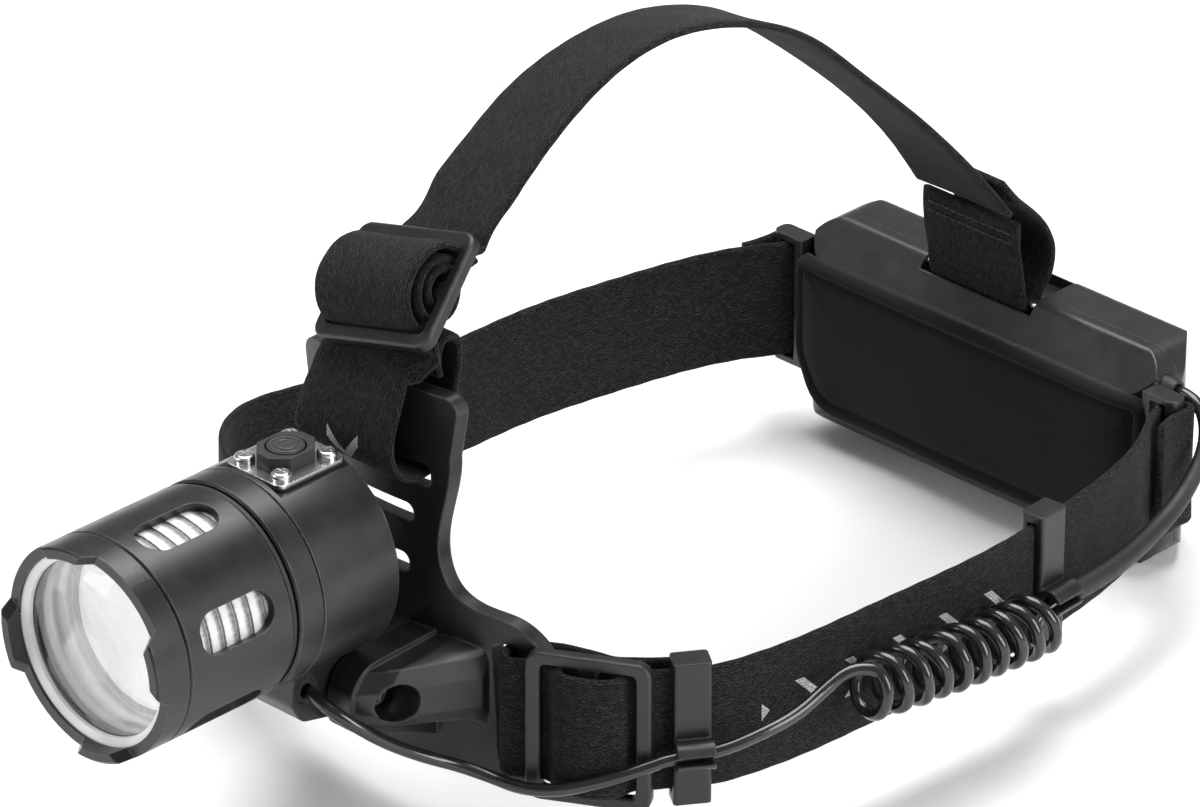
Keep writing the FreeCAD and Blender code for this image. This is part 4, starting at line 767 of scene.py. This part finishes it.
def make_pad(finishes):
    """Pad with a corded edge, a seam inside it and a crowned field, its ends curled off the head."""
    low, high = (Vector(c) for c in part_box("head_pad"))
    left, right, top, bottom = low.x, high.x, high.z, low.z
    outline = rounded_outline([(right, top, TOP_RADIUS), (left, top, TOP_RADIUS),
                               (left, SHOULDER_HEIGHT, SHOULDER_RADIUS),
                               (left + LEFT_FOOT_INSET, bottom, FOOT_RADIUS),
                               (right - RIGHT_FOOT_INSET, bottom, FOOT_RADIUS),
                               (right, SHOULDER_HEIGHT, SHOULDER_RADIUS)], PAD_STEPS)
    count = len(outline)
    inward = []
    for k in range(count):
        run = (outline[(k + 1) % count] - outline[k - 1]).normalized()
        inward.append(Vector((-run.y, run.x)))
    if (outline[0] + inward[0]).length > (outline[0] - inward[0]).length:
        inward = [-v for v in inward]
    draw = random.Random(5)
    waves = [(draw.uniform(40, 190), draw.uniform(60, 260), draw.uniform(0, 6.28)) for _ in range(7)]
    thick = high.y - low.y
    spine_z = (top + bottom) / 2
    points = []
    rings = 0

    def turned_back(x):
        """How far an end of the pad curls away from the head."""
        beyond = max(0.0, x - (right - PAD_END), (left + PAD_END) - x)
        return beyond ** 2 * END_CURL

    def add_ring(spots, height):
        nonlocal rings
        for spot in spots:
            ripple = sum(math.sin(spot.x * a + spot.y * b + c) for a, b, c in waves) / len(waves)
            front = high.y - thick * height - ripple * PAD_WAVE * min(height, 1)
            points.append((spot.x, front + turned_back(spot.x), spot.y))
        rings += 1

    for depth, height in PAD_EDGE:
        add_ring([p + n * depth for p, n in zip(outline, inward)], height)
    rim_depth, rim_height = PAD_EDGE[-1]
    rim = [p + n * rim_depth for p, n in zip(outline, inward)]
    for fill in PAD_FIELD:
        spots = []
        for p in rim:
            spine = Vector((max(min(p.x, right - SPINE_INSET), left + SPINE_INSET), spine_z))
            spots.append(p.lerp(spine, fill))
        add_ring(spots, rim_height + CROWN * math.sin(fill * math.pi / 2))
    faces = []
    for r in range(rings - 1):
        for k in range(count):
            after = (k + 1) % count
            faces.append((r * count + k, r * count + after,
                          (r + 1) * count + after, (r + 1) * count + k))
    back = len(points)
    for p in outline:
        points.append((p.x, high.y + turned_back(p.x), p.y))
    for k in range(count):
        faces.append(((k + 1) % count, k, back + k, back + (k + 1) % count))
    faces.append(tuple(range(back, back + count)))
    pad = mesh_object("box_pad", points, faces, finishes["pad_cloth"])
    mesh = bmesh.new()
    mesh.from_mesh(pad.data)
    bmesh.ops.remove_doubles(mesh, verts=mesh.verts, dist=1e-5)
    bmesh.ops.recalc_face_normals(mesh, faces=mesh.faces)
    mesh.to_mesh(pad.data)
    mesh.free()
    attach(pad, "harness")
    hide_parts("head_pad")


# ---------------------------------------------------------------- stitches and the button's mark

def stitches(name, start, stop, out, count, finish, length=0.0016, radius=0.00016):
    """A straight row of thread stitches that dip into the cloth at both ends."""
    points, faces = [], []
    run = (stop - start).normalized()
    side = out.cross(run)
    around = 6
    for n in range(count):
        middle = start.lerp(stop, (n + 0.5) / count)
        for i in range(7):
            share = i / 6
            rise = radius * (1.6 * math.sin(share * math.pi) - 0.5)
            centre = middle + run * length * (share - 0.5) + out * rise
            for k in range(around):
                turn = 2 * math.pi * k / around
                points.append(centre + (side * math.cos(turn) + out * math.sin(turn)) * radius)
        base = n * 7 * around
        for i in range(6):
            for k in range(around):
                after = (k + 1) % around
                faces.append((base + i * around + k, base + i * around + after,
                              base + (i + 1) * around + after, base + (i + 1) * around + k))
        faces.append(tuple(base + k for k in range(around))[::-1])
        faces.append(tuple(base + 6 * around + k for k in range(around)))
    thread = mesh_object(name, points, faces, finish)
    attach(thread, "harness")


SEAM_HEIGHTS = (0.0345, 0.0325)
SEAM_HALF = 0.0112
SEAM_STITCHES = 11
SEAM_LIFT = 0.0001


def make_stitching():
    """Two rows of stitches across the front leg of the strap's rear loop."""
    thread = solid_finish("sewing_thread", grey(0.03), grey(0.06), (0.6, 0.75),
                          edge=0.00005, patch=900, grain=6000, grain_depth=0.00003)
    y = REAR_LOOP[0][0] * MM - BAND_THICK / 2 - SEAM_LIFT
    for height in SEAM_HEIGHTS:
        stitches(f"tab_seam_{round(height * 10000)}", Vector((-SEAM_HALF, y, height)),
                 Vector((SEAM_HALF, y, height)), Vector((0, -1, 0)), SEAM_STITCHES, thread)


MARK_RADIUS, MARK_GAP, MARK_LINE = 0.0018, 38, 0.00021
BAR_START, BAR_LENGTH = 0.0001, 0.0021
BORDER_RADIUS, BORDER_LINE = 0.0030, 0.00018
MARK_LIFT = 0.00002


def ring_on_face(middle, face, radius, gap, steps):
    """Points of a ring round the middle of a level face, open by an angle of gap each side of its far end."""
    turns = [gap + (2 * math.pi - 2 * gap) * i / steps for i in range(steps + 1)]
    return [Vector((middle.x + math.sin(t) * radius, middle.y + math.cos(t) * radius, face)) for t in turns]


def make_power_mark():
    """Plain power symbol, a broken ring with a bar in its gap, and a border, on the button's face."""
    low, high = (Vector(c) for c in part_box("power_button"))
    middle = (low + high) / 2
    face = high.z + MARK_LIFT
    ring = ring_on_face(middle, face, MARK_RADIUS, math.radians(MARK_GAP), 40)
    bar = [Vector((middle.x, middle.y + BAR_START + BAR_LENGTH * i / 8, face)) for i in range(9)]
    border = ring_on_face(middle, face, BORDER_RADIUS, 0, 64)
    finish = solid_finish("button_mark", grey(0.03), grey(0.05), (0.3, 0.4),
                          edge=0.0001, patch=300, grain=3000)
    for name, path, radius in (("mark_ring", ring, MARK_LINE), ("mark_bar", bar, MARK_LINE),
                               ("button_ring", border, BORDER_LINE)):
        piece = tube(name, path, lambda share, r=radius: r, 10, finish)
        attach(piece, "switch_cap")


# ---------------------------------------------------------------- floor and light

FLOOR_HALF = 2.5
FLOOR_DROP = 0.0012


def make_stage():
    """A pale floor just under the part."""
    low = cad_box[0][2] - FLOOR_DROP
    corners = [(x, y, low) for x, y in ((-FLOOR_HALF, -FLOOR_HALF), (FLOOR_HALF, -FLOOR_HALF),
                                        (FLOOR_HALF, FLOOR_HALF), (-FLOOR_HALF, FLOOR_HALF))]
    floor = mesh_object("floor", corners, [(0, 1, 2, 3)])
    tree, shader, material = new_finish("pale_floor", Roughness=0.8)
    colour = blend_colours(tree, noise(tree, 6, 2), grey(0.80), grey(0.84))
    tree.links.new(colour, shader.inputs["Base Color"])
    floor.data.materials.append(material)


SKY_COLOUR, SKY_STRENGTH = (0.93, 0.95, 1.0, 1), 0.32
LIGHT_AIM = (0, -0.02, 0.03)
# Each softbox as (name, place, width, height, watts).
SOFTBOXES = [("key", (1.0, 0.15, 0.45), 0.5, 0.7, 9),
             ("top", (-0.2, 0.2, 1.2), 1.0, 1.0, 24),
             ("front", (-0.6, -1.0, 0.5), 0.5, 0.5, 5)]


def softbox(name, place, width, height, power):
    """A rectangular light that faces the part."""
    lamp = bpy.data.lights.new(name, "AREA")
    lamp.shape = "RECTANGLE"
    lamp.size = width
    lamp.size_y = height
    lamp.energy = power
    item = bpy.data.objects.new(name, lamp)
    item.location = place
    item.rotation_euler = (Vector(place) - Vector(LIGHT_AIM)).to_track_quat("Z", "Y").to_euler()
    bpy.context.collection.objects.link(item)


def make_lights():
    """Even light all round, a key from the side, a large light overhead and a weak one in front."""
    world = bpy.data.worlds.new("studio")
    bpy.context.scene.world = world
    world.use_nodes = True
    background = world.node_tree.nodes["Background"]
    background.inputs["Color"].default_value = SKY_COLOUR
    background.inputs["Strength"].default_value = SKY_STRENGTH
    for light in SOFTBOXES:
        softbox(*light)
    bpy.context.scene.view_settings.view_transform = "Standard"


make_camera()
finishes = make_finishes()
dress_frame(finishes)
make_lead(finishes)
make_side_bands(finishes)
make_top_strap(finishes)
make_top_roll(finishes)
make_rear_loop(finishes)
make_pad(finishes)
make_stitching()
make_power_mark()
make_stage()
make_lights()
